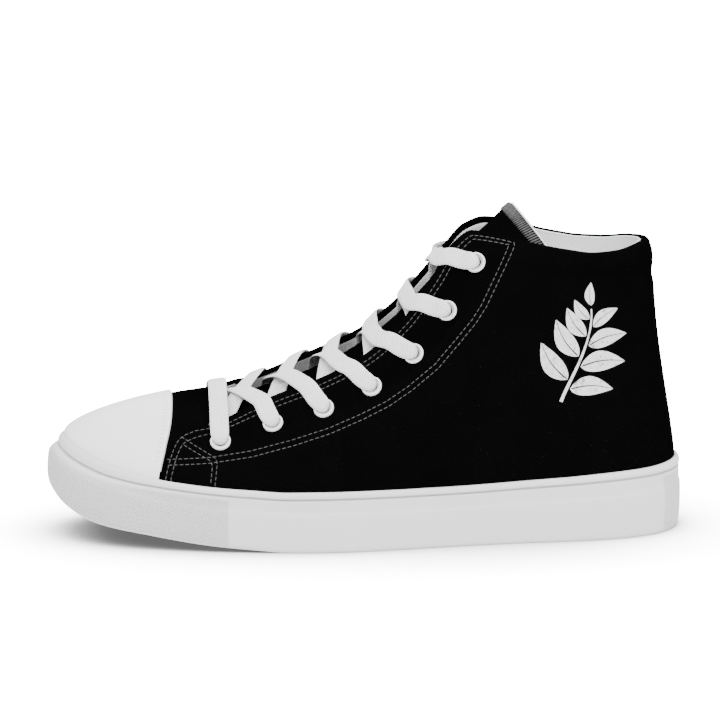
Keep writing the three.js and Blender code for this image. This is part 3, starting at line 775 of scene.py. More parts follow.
def grid_piece(name, points, flip=False, shares=None):
    rows, columns = points.shape[:2]
    return make_piece(name, points, grid_faces(rows, columns, flip=flip), cloth_uvs(points), shares)


def graded(count, first, size):
    """Shares from 0 to 1 with a few fine steps at each end: first is the finest step, size the whole."""
    fine = np.cumsum([first, first, 1.5 * first, 2.5 * first]) / size
    middle = np.linspace(fine[-1], 1 - fine[-1], count)
    return np.concatenate([[0], fine[:-1], middle, 1 - fine[-2::-1], [1]])


# Panels of the upper


def behind(edge, point):
    """Whether points lie on the heel's side of an edge that is seen from the side."""
    rise = (point[..., 2] - SOLE_HEIGHT) / UPPER_HEIGHT
    return point[..., 0] > SHOE_LENGTH * read(edge, "along", rise, "rise")


def front_of(rows, edge, side):
    """Stations where each row of the upper meets an edge that is seen from the side."""

    def past_front(turn):
        u = turn if side < 0 else 1 - turn
        return ~behind(edge, last_point(u, at(u)["top"] * rows))

    turn = halved(np.full_like(rows, 0.25), np.full_like(rows, 0.5), past_front)
    return turn if side < 0 else 1 - turn


def feet_of(edge):
    """Stations where an edge of the upper meets the sole: lateral, then medial."""
    return [front_of(np.array([0.0]), edge, side)[0] for side in (-1, 1)]


def edge_stop(u):
    """Share of each rib where the wall starts to round over its free edge, and the rib's length."""
    top = at(u)["top"]
    rib = length(last_point(u, top) - last_point(u, 0.98 * top)) / 0.02
    collar = collar_at(last_point(u, top)[..., 0])
    return 1 - 0.5 * (QUARTER_STEP + CANVAS + ROLL_BULK * collar) / rib, rib


def over_edge(u, outer, inner, turns, proud=0.0):
    """Rows that round over a wall's free edge, from turn 0 outside to pi inside."""
    top = at(u)["top"]
    stop = edge_stop(u)[0]
    out = skin_point(u, top * stop, outer)
    back = skin_point(u, top * stop, inner, inner=True)
    up = unit(last_point(u, top) - last_point(u, top * stop))
    middle, radius = (out + back) / 2, (out - back) / 2
    size = length(radius)[..., None]
    grow = 1 + proud / size
    return [middle + grow * (radius * np.cos(turn) + size * up * np.sin(turn)) for turn in turns]


def wall_rows(grid_u, rows, offset, inside):
    """Rows of a wall: out of the sole's cup, up outside, over the free edge and down inside."""
    layers = [skin_point(grid_u[0], 0 * grid_u[0], offset) - np.array([0, 0, SKIRT])]
    for u, row in zip(grid_u, rows):
        layers.append(skin_point(u, at(u)["top"] * edge_stop(u)[0] * row, offset))
    u = grid_u[-1]
    layers += over_edge(u, offset, -CANVAS, np.linspace(0, np.pi, 14)[1:-1])
    stop, rib = edge_stop(u)
    for drop in np.linspace(0, inside, 8):
        layers.append(skin_point(u, at(u)["top"] * (stop - drop / rib), -CANVAS, inner=True))
    return np.stack(layers)


def make_quarters():
    rows = np.linspace(0, 1, QUARTER_GRID[0])
    spread = graded(QUARTER_GRID[1], QUARTER_FINEST, QUARTER_RUN)
    starts, ends = (front_of(rows, QUARTER_FRONT, side) for side in (-1, 1))
    grid_u = mix(starts[:, None], ends[:, None] - 1, spread[None])
    from_end = np.minimum(spread, 1 - spread) * QUARTER_RUN
    fall = (1 - np.clip(from_end / QUARTER_ROUND, 0, 1)) ** EDGE_CURVE
    offset = QUARTER_STEP - (QUARTER_STEP + EDGE_SINK) * fall
    return grid_piece("quarters", wall_rows(grid_u, rows, offset, HEM_INSIDE + 2))


def make_vamp():
    rows = np.linspace(0, 1, VAMP_GRID[0])
    starts, ends = feet_of(QUARTER_FRONT)
    grid_u = np.tile(np.linspace(starts - VAMP_LAP, ends + VAMP_LAP, VAMP_GRID[1]), (len(rows), 1))
    return grid_piece("vamp", wall_rows(grid_u, rows, 0 * grid_u[0], HEM_INSIDE), flip=True)


# Folded edge of the lining past the collar's top, by its turn over the edge in half circles
LINING_EDGE = table(
    "turn proud",
    (0.78, -0.3),
    (0.785, 0.4),
    (0.82, 0.7),
    (0.87, 0.7),
    (0.9, 0.4),
    (0.94, 0.28),
)


def make_lining():
    """Lining of the whole inside: it starts past the collar's edge, and below the hem of the throat."""
    u = np.linspace(0, 1, LINING_GRID[1])
    place = at(u)
    stop, rib = edge_stop(u)
    collar = smooth(*LINING_START, share(last_point(u, place["top"])[:, 0]))
    hidden = skin_point(u, place["top"] * (stop - THROAT_HEM / rib), -CANVAS + 0.5, inner=True)
    layers = []
    for turn, proud in zip(LINING_EDGE["turn"], LINING_EDGE["proud"]):
        bent = over_edge(u, QUARTER_STEP, -CANVAS, [turn * np.pi], proud)[0]
        layers.append(mix(hidden, bent, collar[:, None]))
    start = stop - (1 - collar) * THROAT_HEM / rib
    for row in np.linspace(0, 1, LINING_GRID[0]):
        offset = -CANVAS - LINING_STAND * smooth(0, 0.02, row + collar)
        layers.append(skin_point(u, place["top"] * start * (1 - row), offset, inner=True))
    layers.append(drawn_in(place, "base", CANVAS + CUP_TAPER + 0.2, floor_at(place["base_x"])))
    return grid_piece("lining", np.stack(layers))


def cap_tops(u):
    """Height on each rib of the toe where it reaches the cap's back edge."""
    return halved(np.zeros_like(u), at(u)["top"], lambda zeta: behind(CAP_BACK, last_point(u, zeta)))


def make_cap():
    u = mix(*feet_of(CAP_BACK), np.linspace(0, 1, CAP_GRID[1]))
    tops = cap_tops(u)
    span = np.maximum(length(last_point(u, tops) - last_point(u, 0 * u)), 1e-3)
    full = FIT_GAP + CAP_THICKNESS
    layers = [skin_point(u, 0 * u, full) - np.array([0, 0, SKIRT])]
    for row in np.linspace(0, 1, CAP_GRID[0])[:-1]:
        layers.append(skin_point(u, tops * row * np.clip(1 - CAP_EDGE[0] / span, 0, 1), full))
    for short in CAP_EDGE:
        drop = (full + 0.2) * (1 - np.clip(short / 0.5, 0, 1)) ** EDGE_CURVE
        layers.append(skin_point(u, tops * np.clip(1 - short / span, 0, 1), full - drop))
    return grid_piece("toe_cap_skin", np.stack(layers), flip=True)


def make_dots(name, middle, facing, radius, lift):
    """Joined small discs that lie on a surface."""
    ring = circle(facing, np.arange(8) / 8)
    points = middle[:, None] + facing[:, None] * lift + ring * radius
    return make_piece(name, points, np.arange(len(points) * 8).reshape(-1, 8))


def make_pinholes():
    """Two rows of needle holes along the toe cap's back edge."""
    u = mix(*feet_of(CAP_BACK), np.linspace(0.02, 0.98, 500))
    tops = cap_tops(u)
    edge = last_point(u, tops)
    rib = edge - last_point(u, tops * (1 - RIB_PART))
    slant = length(np.cross(unit(rib), unit(np.gradient(edge, axis=0))))
    rows = []
    for gap, skipped in PINHOLE_ROWS:
        zeta = tops * (1 - RIB_PART * gap / (length(rib) * np.maximum(slant, 0.3)))
        points = skin_point(u, zeta, FIT_GAP + CAP_THICKNESS)
        rows.append(stitch_row(points[skipped:], last_normal(u, zeta)[skipped:], PINHOLE_PITCH))
    middle, _, facing = (np.concatenate(parts) for parts in zip(*rows))
    return make_dots("cap_pinholes", middle, facing, PINHOLE_RADIUS, 0.03)


# Sole


def rounded_profile(rows, passes=3):
    """Corner-cut section of the side wall."""
    section = spot(*rows.values())
    for _ in range(passes):
        near, far = section[:-1], section[1:]
        cut = np.stack([mix(near, far, 0.25), mix(near, far, 0.75)], axis=1).reshape(-1, 4)
        section = np.concatenate([section[:1], cut, section[-1:]])
    return section


def wall_points(u, section):
    place = at(u)
    toe = toe_blend(place["outer_x"])
    low = spring_at(place["outer_x"])
    layers = []
    for height, inset, toe_height, toe_inset in section:
        z = mix(low, place["feather"], mix(height, toe_height, toe))
        layers.append(drawn_in(place, "outer", mix(inset, toe_inset, toe), z))
    return np.stack(layers)


def wall_shares(u, section):
    """Where the side wall is knurled, ribbed or grooved; the groove share also places a painted shade line
    in the rubber's colour.
    """
    place = at(u)
    toe = toe_blend(place["outer_x"])
    height = mix(section[:, :1], section[:, 2:3], toe[None])
    x = np.broadcast_to(place["outer_x"], height.shape)
    rise = (height - mix(*GROOVE_HEIGHT, toe)) * SOLE_HEIGHT
    below = smooth(mix(*RELIEF_END, toe), mix(*RELIEF_TOP, toe), height) * smooth(0.02, 0.05, height)
    return {
        "knurl": below * smooth(KNURL_END + 0.4, KNURL_END - 0.4, x),
        "ribs": below * smooth(RIBS_START - 0.4, RIBS_START + 0.4, x),
        "groove": np.exp(-((rise / GROOVE_HALF) ** 2)),
    }


def make_sole_wall():
    u = np.linspace(0, 1, WALL_STEPS)
    section = rounded_profile(WALL_SECTION)
    place = at(u)
    cap = CAP_THICKNESS * smooth(*CAP_START, share(place["base_x"]))
    clear = QUARTER_STEP + FIT_GAP + cap - WALL_GRIP
    down = []
    for depth in (0.0, 0.25, 0.6):
        z = mix(place["feather"], floor_at(place["base_x"]), depth)
        down.append(drawn_in(place, "base", CUP_TAPER * depth - clear, z))
    points = np.concatenate([wall_points(u, section), np.stack(down)])
    shares = wall_shares(u, section)
    shares = {name: np.concatenate([values, np.zeros((3, len(u)))]) for name, values in shares.items()}
    return grid_piece("sole_wall", points, flip=True, shares=shares)


def tread_depth(x, inward):
    """Depth of the tread below the sole, from the place and the distance to its edge."""
    field = smooth(TREAD_MARGIN - ARCH_SOFT, TREAD_MARGIN + ARCH_SOFT, inward)
    cut = np.zeros_like(x)
    for low, high in TREAD_ZONES:
        for middle in np.arange(low * SHOE_LENGTH, high * SHOE_LENGTH + 1e-6, TREAD_PITCH):
            slot = smooth(TREAD_SLOT / 2 + SLOT_SOFT, TREAD_SLOT / 2 - SLOT_SOFT, np.abs(x - middle))
            cut = np.maximum(cut, slot)
    half = ARCH_REACH * SHOE_LENGTH / 2
    arch = smooth(half + ARCH_SOFT, half - ARCH_SOFT, np.abs(x - ARCH_MIDDLE * SHOE_LENGTH))
    return TREAD_DEPTH * field * np.maximum(cut, arch)


def across_grid(loop_lateral, loop_medial, columns):
    t = np.linspace(0, 1, columns)[None, :, None]
    return mix(loop_lateral[:, None], loop_medial[:, None], t), t[..., 0]


def make_tread():
    even = np.linspace(0.0005, 0.4995, TREAD_GRID[0])
    u = 0.1 * smooth(0, 1, np.linspace(0.0005, 0.9995, TREAD_GRID[0])) + 0.8 * even
    section = rounded_profile(WALL_SECTION)[:1]
    lateral, medial = wall_points(u, section)[0], wall_points(1 - u, section)[0]
    points, t = across_grid(lateral, medial, TREAD_GRID[1])
    width = length(medial - lateral)[:, None]
    ends = np.minimum(points[..., 0] - outline[:, 0].min(), outline[:, 0].max() - points[..., 0])
    inward = np.minimum(np.minimum(t, 1 - t) * width, ends)
    points[..., 2] += tread_depth(points[..., 0], inward)
    return grid_piece("tread", points)


def make_insole():
    half = np.linspace(0.0005, 0.4995, INSOLE_GRID[0])
    rims = []
    for u in (half, 1 - half):
        place = at(u)
        top = floor_at(place["base_x"]) + FIT_GAP + INSOLE_THICKNESS
        rims.append(drawn_in(place, "base", CANVAS + CUP_TAPER + FIT_GAP + 0.4, top))
    points, t = across_grid(*rims, INSOLE_GRID[1])
    cup = 1 - smooth(0, 0.2, np.minimum(t, 1 - t))
    heel = smooth(*FOOTBED_HEEL, share(points[..., 0]))
    points[..., 2] += FOOTBED_CUP * cup * (0.4 + 0.6 * heel) - FOOTBED_DIP
    return grid_piece("footbed", points, flip=True)


# Tongue


def toe_height(x, y):
    """Height of the last above points of the toe's plan."""
    lean = BALL_WIDTH * read(CREST, "lean", share(TOE_POLE))
    angle = np.arctan2(np.abs(y - lean), TOE_POLE - x)
    t = 1 - TOE_FAN * angle / (np.pi / 2)
    place = at(np.where(y < lean, t / 2, 1 - t / 2))
    whole = np.hypot(place["base_x"] - place["axis_x"], place["base_y"] - place["axis_y"])
    kept = np.hypot(x - place["axis_x"], y - place["axis_y"]) / whole
    zeta = halved(np.zeros_like(x), np.ones_like(x), lambda height: width_left(place, height) <= kept)
    return mix(place["feather"], place["crest"], zeta)


def tongue_faces(rows, columns):
    """Outer face of the tongue as a grid from its front end to its top, and the way that it faces."""
    run = rows[:, None] * np.ones(len(columns))
    reach = np.ones(len(rows))[:, None] * columns
    side = np.where(reach < 0, -1, 1)
    turn = (np.pi / 2) * np.abs(reach)

    def column(name, at_run):
        return read(TONGUE, name, at_run, "run")

    x = column("along", run) * SHOE_LENGTH
    y = BALL_WIDTH * read(CREST, "lean", share(x))
    middle = spot(x, y, rise_at(column("rise", run)))
    edge_x = column("side_along", run) * SHOE_LENGTH
    inside = -CANVAS - FIT_GAP - TONGUE_EASE
    edge = seat_at(edge_x, rise_at(column("side_rise", run)), side, inside)[0]
    point = mix(middle, edge, spot(1 - np.cos(turn), np.sin(turn), 1 - np.cos(turn)))
    limit = seat_at(point[..., 0], point[..., 2], side, inside)[0]
    outside = (side * point[..., 1] > side * limit[..., 1]) & (point[..., 0] > TOE_POLE)
    point[..., 1] = np.where(outside, limit[..., 1], point[..., 1])
    ceiling = toe_height(point[..., 0], point[..., 1]) + 1.2 * inside
    low = (point[..., 0] <= TOE_POLE) & (point[..., 2] > ceiling)
    point[..., 2] = np.where(low, ceiling, point[..., 2])
    ahead, behind_it = np.clip(run + 0.02, 0, 1), np.clip(run - 0.02, 0, 1)
    slope_x = (column("along", ahead) - column("along", behind_it)) * SHOE_LENGTH
    slope_z = (column("rise", ahead) - column("rise", behind_it)) * UPPER_HEIGHT
    facing = unit(spot(-slope_z, 0 * slope_z, slope_x)) * np.cos(turn)[..., None]
    facing[..., 1] = side * np.sin(turn)
    return point, unit(facing)


def make_tongue():
    rows, columns = (np.linspace(low, 1, count) for low, count in zip((0, -1), TONGUE_GRID))
    point, facing = tongue_faces(rows, columns)
    inwards = smooth(0, 0.08, 1 - np.abs(columns[None, :]))
    soft = mix(TONGUE_THIN, 1, inwards * smooth(*TONGUE_TAPER, rows[:, None]))
    half = (soft * TONGUE_THICKNESS / 2)[..., None]
    middle = point - facing * (TONGUE_THICKNESS / 2)
    front, back = middle + facing * half, middle - facing * half
    loop = np.concatenate([front, back[:, ::-1], front[:, :1]], axis=1)
    tongue = grid_piece("tongue_cloth", loop, flip=True)
    return tongue


def make_tongue_lining():
    """White back of the tongue, whose upper edge stands a little above the hem."""
    rows = np.concatenate([np.linspace(0.03, 0.99, 90), [1.0]])
    point, facing = tongue_faces(rows, np.linspace(-0.97, 0.97, TONGUE_GRID[1]))
    thin = (1 + mix(TONGUE_THIN, 1, smooth(*TONGUE_TAPER, rows)))[:, None, None] / 2
    back = point - facing * (TONGUE_THICKNESS * thin + 0.15)
    up = unit(back[-1] - back[-3])
    above = back[-1] + up * 0.7
    outside = above + facing[-1] * 0.9
    return grid_piece("tongue_lining", np.concatenate([back, [above], [outside], [outside - up * 1.2]]))


def make_tongue_hem():
    """Overlock stitches across the tongue's upper edge: a slanted thread at each step, on both faces."""
    band = TONGUE_HEM / TONGUE_LENGTH
    rows = np.array([1 - 1.12 * band, 1 - band / 2, 1.0])
    point, facing = tongue_faces(rows, np.linspace(-0.985, 0.985, 2001))
    run = run_along(point[1])
    places = np.arange(0.8, run[-1] - 1.6, HEM_PITCH)
    top, foot = np.searchsorted(run, places), np.searchsorted(run, places + HEM_LEAN)
    half = TONGUE_THICKNESS / 2
    parts = []
    for face in (1, -1):
        proud = face * (0.18 * TONGUE_THICKNESS + 0.5)
        start = point[0, foot] - facing[0, foot] * (half - proud * 1.7)
        end = point[2, top] - facing[2, top] * (half - proud)
        parts.append(((start + end) / 2, unit(end - start), facing[1, top] * face))
    return make_dashes("tongue_hem", parts, TONGUE_HEM * 1.25, HEM_THREAD, 0.0)


# Eyelets


def eyelet_seats():
    """Places of the eyelets by number, lateral then medial of each pair."""
    seats = []
    for n in range(len(EYELETS["along"])):
        x = EYELETS["along"][n] * SHOE_LENGTH
        pair = []
        for side, name in ((-1, "lateral"), (1, "medial")):
            point, normal = seat_at(x, rise_at(EYELETS[name][n]), side)
            pair.append({"point": point, "normal": normal, "side": side, "name": f"eyelet_{name}_{n + 1}"})
        seats.append(pair)
    return seats


def circle(facing, steps):
    """Unit vectors round a facing, one for each share of a turn."""
    first = unit(np.cross(facing, [0, 0, 1.0]))[..., None, :]
    second = np.cross(facing[..., None, :], first)
    turn = steps[:, None] * 2 * np.pi
    return np.cos(turn) * first + np.sin(turn) * second


def make_eyelet(seat):
    """A flanged ring with a rolled rim, and a share that marks where painted shade darkens its inner part
    and bore.
    """
    bore, rim = EYELET_BORE / 2, EYELET_OUTER / 2
    inner_rim = rim - EYELET_ROLL
    profile = [(bore, -CANVAS - QUARTER_STEP), (bore, -0.2), (bore + 0.15, 0.35)]
    profile.append((mix(bore, inner_rim, 0.6), 0.62))
    for turn in np.linspace(np.pi, 0, 13):
        height = EYELET_FLANGE * (0.5 + 0.5 * np.sin(turn)) * np.sin(max(turn, 0.2)) ** 0.3
        profile.append((mix(inner_rim, rim, (1 + np.cos(turn)) / 2), max(height, 0.65 * (turn > 2))))
    profile = np.array(profile + [(rim - 0.05, 0.0)])
    ring = circle(seat["normal"], np.arange(41) / 40)
    points = seat["point"] + profile[:, None, :1] * ring[None] + profile[:, None, 1:] * seat["normal"]
    hollow_shade = np.broadcast_to(smooth(rim - 0.6, rim - 1.1, profile[:, :1]), points.shape[:2])
    return grid_piece(seat["name"] + "_ring", points, shares={"hollow_shade": hollow_shade})


# Lace


def smooth_path(rows, count):
    """Evenly spaced rows of a curve through open control rows, and the distance to each."""
    ends = np.stack([2 * rows[0] - rows[1], *rows, 2 * rows[-1] - rows[-2]])
    return spaced(np.concatenate([curve_through(ends, 40), ends[-2:-1]]), count)


def edge_seat(x, side, offset=QUARTER_STEP, below=0.0):
    return seat_at(x, edge_height(x, side) - below, side, offset)


def lace_section(width, bow):
    """Closed rounded outline of a flat lace, as offsets across and out, with its edges bowed."""
    t = np.linspace(-1, 1, LACE_COLUMNS)
    thick = LACE_THICKNESS / 2 * (0.25 + 0.75 * (1 - np.abs(t) ** 6) ** 0.5)
    bent = bow * (t**2 - 0.33)
    top, low = spot(t * width / 2, thick - bent), spot(t * width / 2, -thick - bent)
    return np.concatenate([top, low[::-1], top[:1]])


def eased(rows, passes=10):
    """Rows of numbers along a path, with small kinks drawn out and both ends kept."""
    for _ in range(passes):
        inner = 0.25 * rows[:-2] + 0.5 * rows[1:-1] + 0.25 * rows[2:]
        rows = np.concatenate([rows[:1], inner, rows[-1:]])
    return rows


def make_ribbon(name, controls):
    """A flat lace through control rows: place, facing, width and bow."""
    path, places = smooth_path(controls, LACE_STEPS)
    path = eased(path)
    point, facing = path[:, :3], unit(path[:, 3:6])
    tangent = unit(np.gradient(point, axis=0))
    wide = unit(np.cross(tangent, facing))
    out = np.cross(wide, tangent)
    layers = []
    for k in range(len(path)):
        section = lace_section(*path[k, 6:])
        layers.append(point[k] + section[:, :1] * wide[k] + section[:, 1:] * out[k])
    points = np.stack(layers)
    half = np.linspace(-LACE_WIDTH / 2, LACE_WIDTH / 2, LACE_COLUMNS)
    across = np.concatenate([half, half[::-1], half[:1]])
    uvs = spot(*np.broadcast_arrays(across[None, :], places[:, None]))
    return make_piece(name, points, grid_faces(*points.shape[:2]), uvs)


def control(point, facing, width=1.0, bow=0.12):
    """A control row of a ribbon; the width is a share of the lace's."""
    return np.array([*point, *facing, LACE_WIDTH * width, bow])


# Way into an eyelet, in millimetres from its middle: towards the throat and out of the canvas. Then
# the way that the lace faces there, in the same two directions, its width and its bow
LACE_DIVE = table(
    "ahead height lean out width bow",
    (5.5, 1.65, 0, 1, 1, 0.15),
    (3, 2.45, -0.1, 1, 0.99, 0.3),
    (0.7, 2.25, -0.4, 1, 0.9, 0.5),
    (-0.9, 0.9, -1, 0.5, 0.7, 0.8),
    (-1.45, -0.6, -1, 0.1, 0.5, 0.9),
    (-1, -3, -1, 0, 0.46, 0.9),
)


def into_eyelet(seat, edge_x):
    """The end of a strand: over the throat's edge and the quarter, then down into the eyelet."""
    over = LACE_THICKNESS / 2 + LACE_CLEAR
    edge, edge_normal = edge_seat(edge_x, seat["side"])
    centre, normal = seat["point"], seat["normal"]
    away = unit(edge - centre)
    ring = centre + away * LACE_DIVE["ahead"][0]
    laid, laid_normal = seat_at(*mix(edge, ring, 0.55)[[0, 2]], seat["side"])
    controls = [control(edge + edge_normal * over, edge_normal)]
    controls.append(control(laid + laid_normal * (over + 0.25), laid_normal))
    for ahead, height, lean, out, width, bow in zip(*LACE_DIVE.values()):
        facing = unit(away * lean + normal * out)
        controls.append(control(centre + away * ahead + normal * height, facing, width, bow))
    return controls


def out_of_eyelet(seat, under_x, toward):
    """The start of a strand: from the eyelet's inside, along under the eyestay, and out over the tongue."""
    inside = -CANVAS - UNDER_STAND
    under, under_normal = edge_seat(under_x, seat["side"], inside, 3.5)
    lip, lip_normal = edge_seat(under_x, seat["side"], inside, 0.3)
    centre, normal = seat["point"], seat["normal"]
    return [
        control(centre + normal * (inside - QUARTER_STEP), normal, 0.8),
        control(mix(centre - normal * 3.6, under, 0.5), unit(normal + under_normal)),
        control(under, under_normal),
        control(lip, lip_normal),
        control(lip + np.array([0.8, toward * 4, 0.9]), unit(lip_normal + np.array([0, 0, 0.8]))),
    ]


def crown(first, last, height):
    """A row half way between two others, raised over them."""
    up = unit(first[3:6] + last[3:6])
    return control(mix(first[:3], last[:3], 0.5) + up * height, up)


def make_strand(name, start, end, level, over_edge_at):
    """A strand from the inside of one eyelet to the outside of the next one on the other side."""
    start_x, end_x = start["point"][0], end["point"][0]
    first = out_of_eyelet(start, mix(start_x, end_x, UNDER_CROSSING), end["side"])
    last = into_eyelet(end, mix(start_x, end_x, over_edge_at))
    return make_ribbon(name, first + [crown(first[-1], last[0], LACE_CROWN + level)] + last)


def make_bar(lateral, medial):
    near, far = (into_eyelet(seat, seat["point"][0]) for seat in (lateral, medial))
    middle = crown(near[0], far[0], 0)
    middle[2] = rise_at(CREST["rise"][0]) + LACE_BAR_STAND
    return make_ribbon("lace_bar_ribbon", near[::-1] + [middle] + far)


def make_lace(seats):
    ribbons = {"lace_bar": [make_bar(*seats[0])]}
    for n in range(1, len(seats)):
        low, high = seats[n - 1], seats[n]
        crossed = mix(*EDGE_CROSSING, (n - 1) / (len(seats) - 2))
        level = LACE_PARTING * LACE_THICKNESS
        ribbons[f"lace_crossing_{n}"] = [
            make_strand(f"lace_over_{n}", low[1], high[0], level, crossed),
            make_strand(f"lace_under_{n}", low[0], high[1], -level, crossed),
        ]
    return ribbons


# Stitching


def side_place(x, z, side):
    """A place of the lateral side, carried to a side: its height keeps its share up to the throat's edge."""
    low = feather_at(x)
    lateral, here = edge_height(x, -1), edge_height(x, side)
    return spot(x, low + (z - low) * (here - low) / (lateral - low))


def path_on_wall(corners, side, step=0.4):
    run = run_along(corners)
    line = picked(corners, run, np.arange(0, run[-1], step))
    here = side_place(line[:, 0], line[:, 1], side)
    return seat_at(here[:, 0], here[:, 1], side)


def stitch_row(points, normals, pitch=STITCH_PITCH):
    """Dashes along a path: middle, direction and normal of each."""
    run = run_along(points)
    middles = np.arange(pitch / 2, run[-1], pitch)
    along = unit(picked(points, run, middles + 0.5) - picked(points, run, middles - 0.5))
    return picked(points, run, middles), along, unit(picked(normals, run, middles))


# One stitch from end to end: place as a share of its length, radius of its thickness
DASH = table(
    "place radius", (-0.5, 0), (-0.42, 0.6), (-0.25, 0.95), (0, 1), (0.25, 0.95), (0.42, 0.6), (0.5, 0)
)


def make_dashes(name, rows, size, thickness, sink=0.12):
    """Joined small capsules, one for each stitch."""
    turn = (np.arange(6) / 6 * 2 * np.pi)[None, :, None]
    middle, along, facing = (np.concatenate(parts)[:, None] for parts in zip(*rows))
    wide = np.cross(along, facing)
    layers = []
    for place, radius in zip(DASH["place"], DASH["radius"]):
        reach = radius * thickness / 2
        lift = np.sin(turn) * reach - sink * (2 * place) ** 2
        layers.append(middle + along * (place * size) + wide * (np.cos(turn) * reach) + facing * lift)
    points = np.stack(layers, axis=1)
    count, rings, columns = points.shape[:3]
    starts = (np.arange(count) * rings * columns)[:, None, None]
    faces = (grid_faces(rings, columns, joined=True)[None] + starts).reshape(-1, 4)
    return make_piece(name, points, faces)


# Seams of the lateral side seen from the side; the medial side's follow from them
EYESTAY_LINE = np.array([
    (-92.8, 40.3),
    (-73.2, 41.6),
    (-55, 44.3),
    (-37.2, 48.9),
    (-20, 54.4),
    (-5.1, 60.6),
    (6, 66),
    (16.3, 72.8),
    (28, 82.3),
    (37.8, 93.5),
    (45, 102),
    (49.6, 109),
    (53.8, 117.5),
    (59.3, 128.4),
    (62.6, 135),
])
BRACES = [
    np.array([(-86.2, 49.3), (-72.6, 42.2), (-70.9, 41), (-70.4, 38.9), (-71.6, 29.8)]),
    np.array([(-85.2, 46.3), (-74.2, 40.6), (-73, 39.7), (-72.6, 37.9), (-73.6, 29.8)]),
]

# Rows behind the front edge and below the throat's edge: gaps seen from the side, and where each ends
EDGE_ROWS = table("front throat end", (1.4, 2.4, 65.2), (3.7, 3.8, 62.4))


def offset_line(corners, gap):
    """A line beside another one, to its right when gap is above zero."""
    along = unit(np.gradient(corners, axis=0))
    return corners + spot(along[:, 1], -along[:, 0]) * gap


def front_line(gap):
    rises = np.linspace(0.03, 0.262, 14)
    return offset_line(spot(SHOE_LENGTH * read(QUARTER_FRONT, "along", rises, "rise"), rise_at(rises)), gap)


def throat_line(gap, end_x):
    x = np.linspace(-66, end_x, 60)
    return offset_line(spot(x, edge_height(x, -1)), gap)


def seam_lines():
    """Rows of stitches on one side, as lines seen from the side."""
    lines = []
    for n, eyestay in enumerate((offset_line(EYESTAY_LINE, ROW_GAP), EYESTAY_LINE)):
        front = front_line(EDGE_ROWS["front"][n])[:-1]
        throat = throat_line(EDGE_ROWS["throat"][n], EDGE_ROWS["end"][n])
        lines.append(np.concatenate([front, throat, eyestay[::-1]]))
    return lines + BRACES


def make_stitches():
    rows = [stitch_row(*path_on_wall(line, side)) for side in (-1, 1) for line in seam_lines()]
    return make_dashes("stitches", rows, STITCH_LENGTH, STITCH_THICKNESS)


# Print on the ankle: a leafy sprig, seen from the side


def sprig_place(run):
    """Middle line of the stem from its foot to its tip, and its direction."""
    angle = SPRIG_TURN * run - SPRIG_START
    bend = np.array([SPRIG_BEND * np.sin(angle) - 2.6, SPRIG_HEIGHT * (run - 0.5)])
    ahead = np.array([SPRIG_BEND * SPRIG_TURN * np.cos(angle), SPRIG_HEIGHT])
    return np.array(SPRIG_MIDDLE) + bend, unit(ahead)


def leaf_halves(foot, direction, size):
    """Two halves of a pointed leaf, with its midrib left bare, as grids seen from the side."""
    width = LEAF_WIDTH * size
    run = np.linspace(0, 1, 15)
    across = np.array([-direction[1], direction[0]])
    bow = LEAF_BOW * size * np.sin(np.pi * run)
    full = width * np.sin(np.pi * run**0.8) ** 0.9
    rib = LEAF_RIB * width * (1.4 - run) * (full > 0)
    reach = np.linspace(0, 1, 5)[:, None] * np.maximum(full - rib, 0) + rib
    along = foot + direction * (run[:, None] * size) + across * bow[:, None]
    return [along[None] + side * reach[..., None] * across for side in (-1, 1)]


def make_print():
    run = np.linspace(0, 0.97, 40)
    places, ways = (np.array(parts) for parts in zip(*(sprig_place(part) for part in run)))
    across = spot(-ways[:, 1], ways[:, 0]) * mix(*SPRIG_STEM, run)[:, None]
    grids = [np.stack([places + across * side for side in (-1, 0, 1)])]
    for run_at, side, turn, size in SPRIG_LEAVES:
        place, way = sprig_place(run_at)
        angle = np.radians(turn) * side
        turned = np.array([[np.cos(angle), np.sin(angle)], [-np.sin(angle), np.cos(angle)]]) @ way
        grids += leaf_halves(place + turned * LEAF_STALK, turned, size)
    points, faces, count = [], [], 0
    for grid in grids:
        rows, columns = grid.shape[:2]
        points.append(seat_at(*grid.reshape(-1, 2).T, -1, QUARTER_STEP + PRINT_STAND)[0])
        faces.append(grid_faces(rows, columns, start=count))
        count += rows * columns
    return make_piece("ankle_print", np.concatenate(points), np.concatenate(faces))


# Materials


def principled(name, color, roughness, **sockets):
    """A material with its principled shader; sockets are set on the shader itself."""
    look = bpy.data.materials.new(name)
    look.use_nodes = True
    shader = look.node_tree.nodes["Principled BSDF"]
    shader.inputs["Base Color"].default_value = (*color, 1)
    shader.inputs["Roughness"].default_value = roughness
    for socket, value in sockets.items():
        shader.inputs[socket.replace("_", " ")].default_value = value
    return look


def add(look, kind, inputs, **settings):
    """A node with its settings, whose inputs are other nodes' outputs or plain values."""
    node = look.node_tree.nodes.new(kind)
    for name, value in settings.items():
        setattr(node, name, value)
    for key, value in inputs.items():
        if isinstance(value, bpy.types.NodeSocket):
            look.node_tree.links.new(value, node.inputs[key])
        else:
            node.inputs[key].default_value = value
    return node


def math(look, operation, first, second=0.0):
    return add(look, "ShaderNodeMath", {0: first, 1: second}, operation=operation).outputs[0]


def times(look, first, second):
    return math(look, "MULTIPLY", first, second)


def plus(look, first, second):
    return math(look, "ADD", first, second)


def minus(look, first, second):
    return math(look, "SUBTRACT", first, second)


def share_named(look, name):
    """A share that is stored at the points of the mesh."""
    return add(look, "ShaderNodeAttribute", {}, attribute_name=name).outputs["Fac"]


def wire(look, socket, value):
    look.node_tree.links.new(value, look.node_tree.nodes["Principled BSDF"].inputs[socket])


def cloth_axes(look):
    uv = add(look, "ShaderNodeUVMap", {}, uv_map="cloth").outputs[0]
    split = add(look, "ShaderNodeSeparateXYZ", {0: uv})
    return split.outputs[0], split.outputs[1]


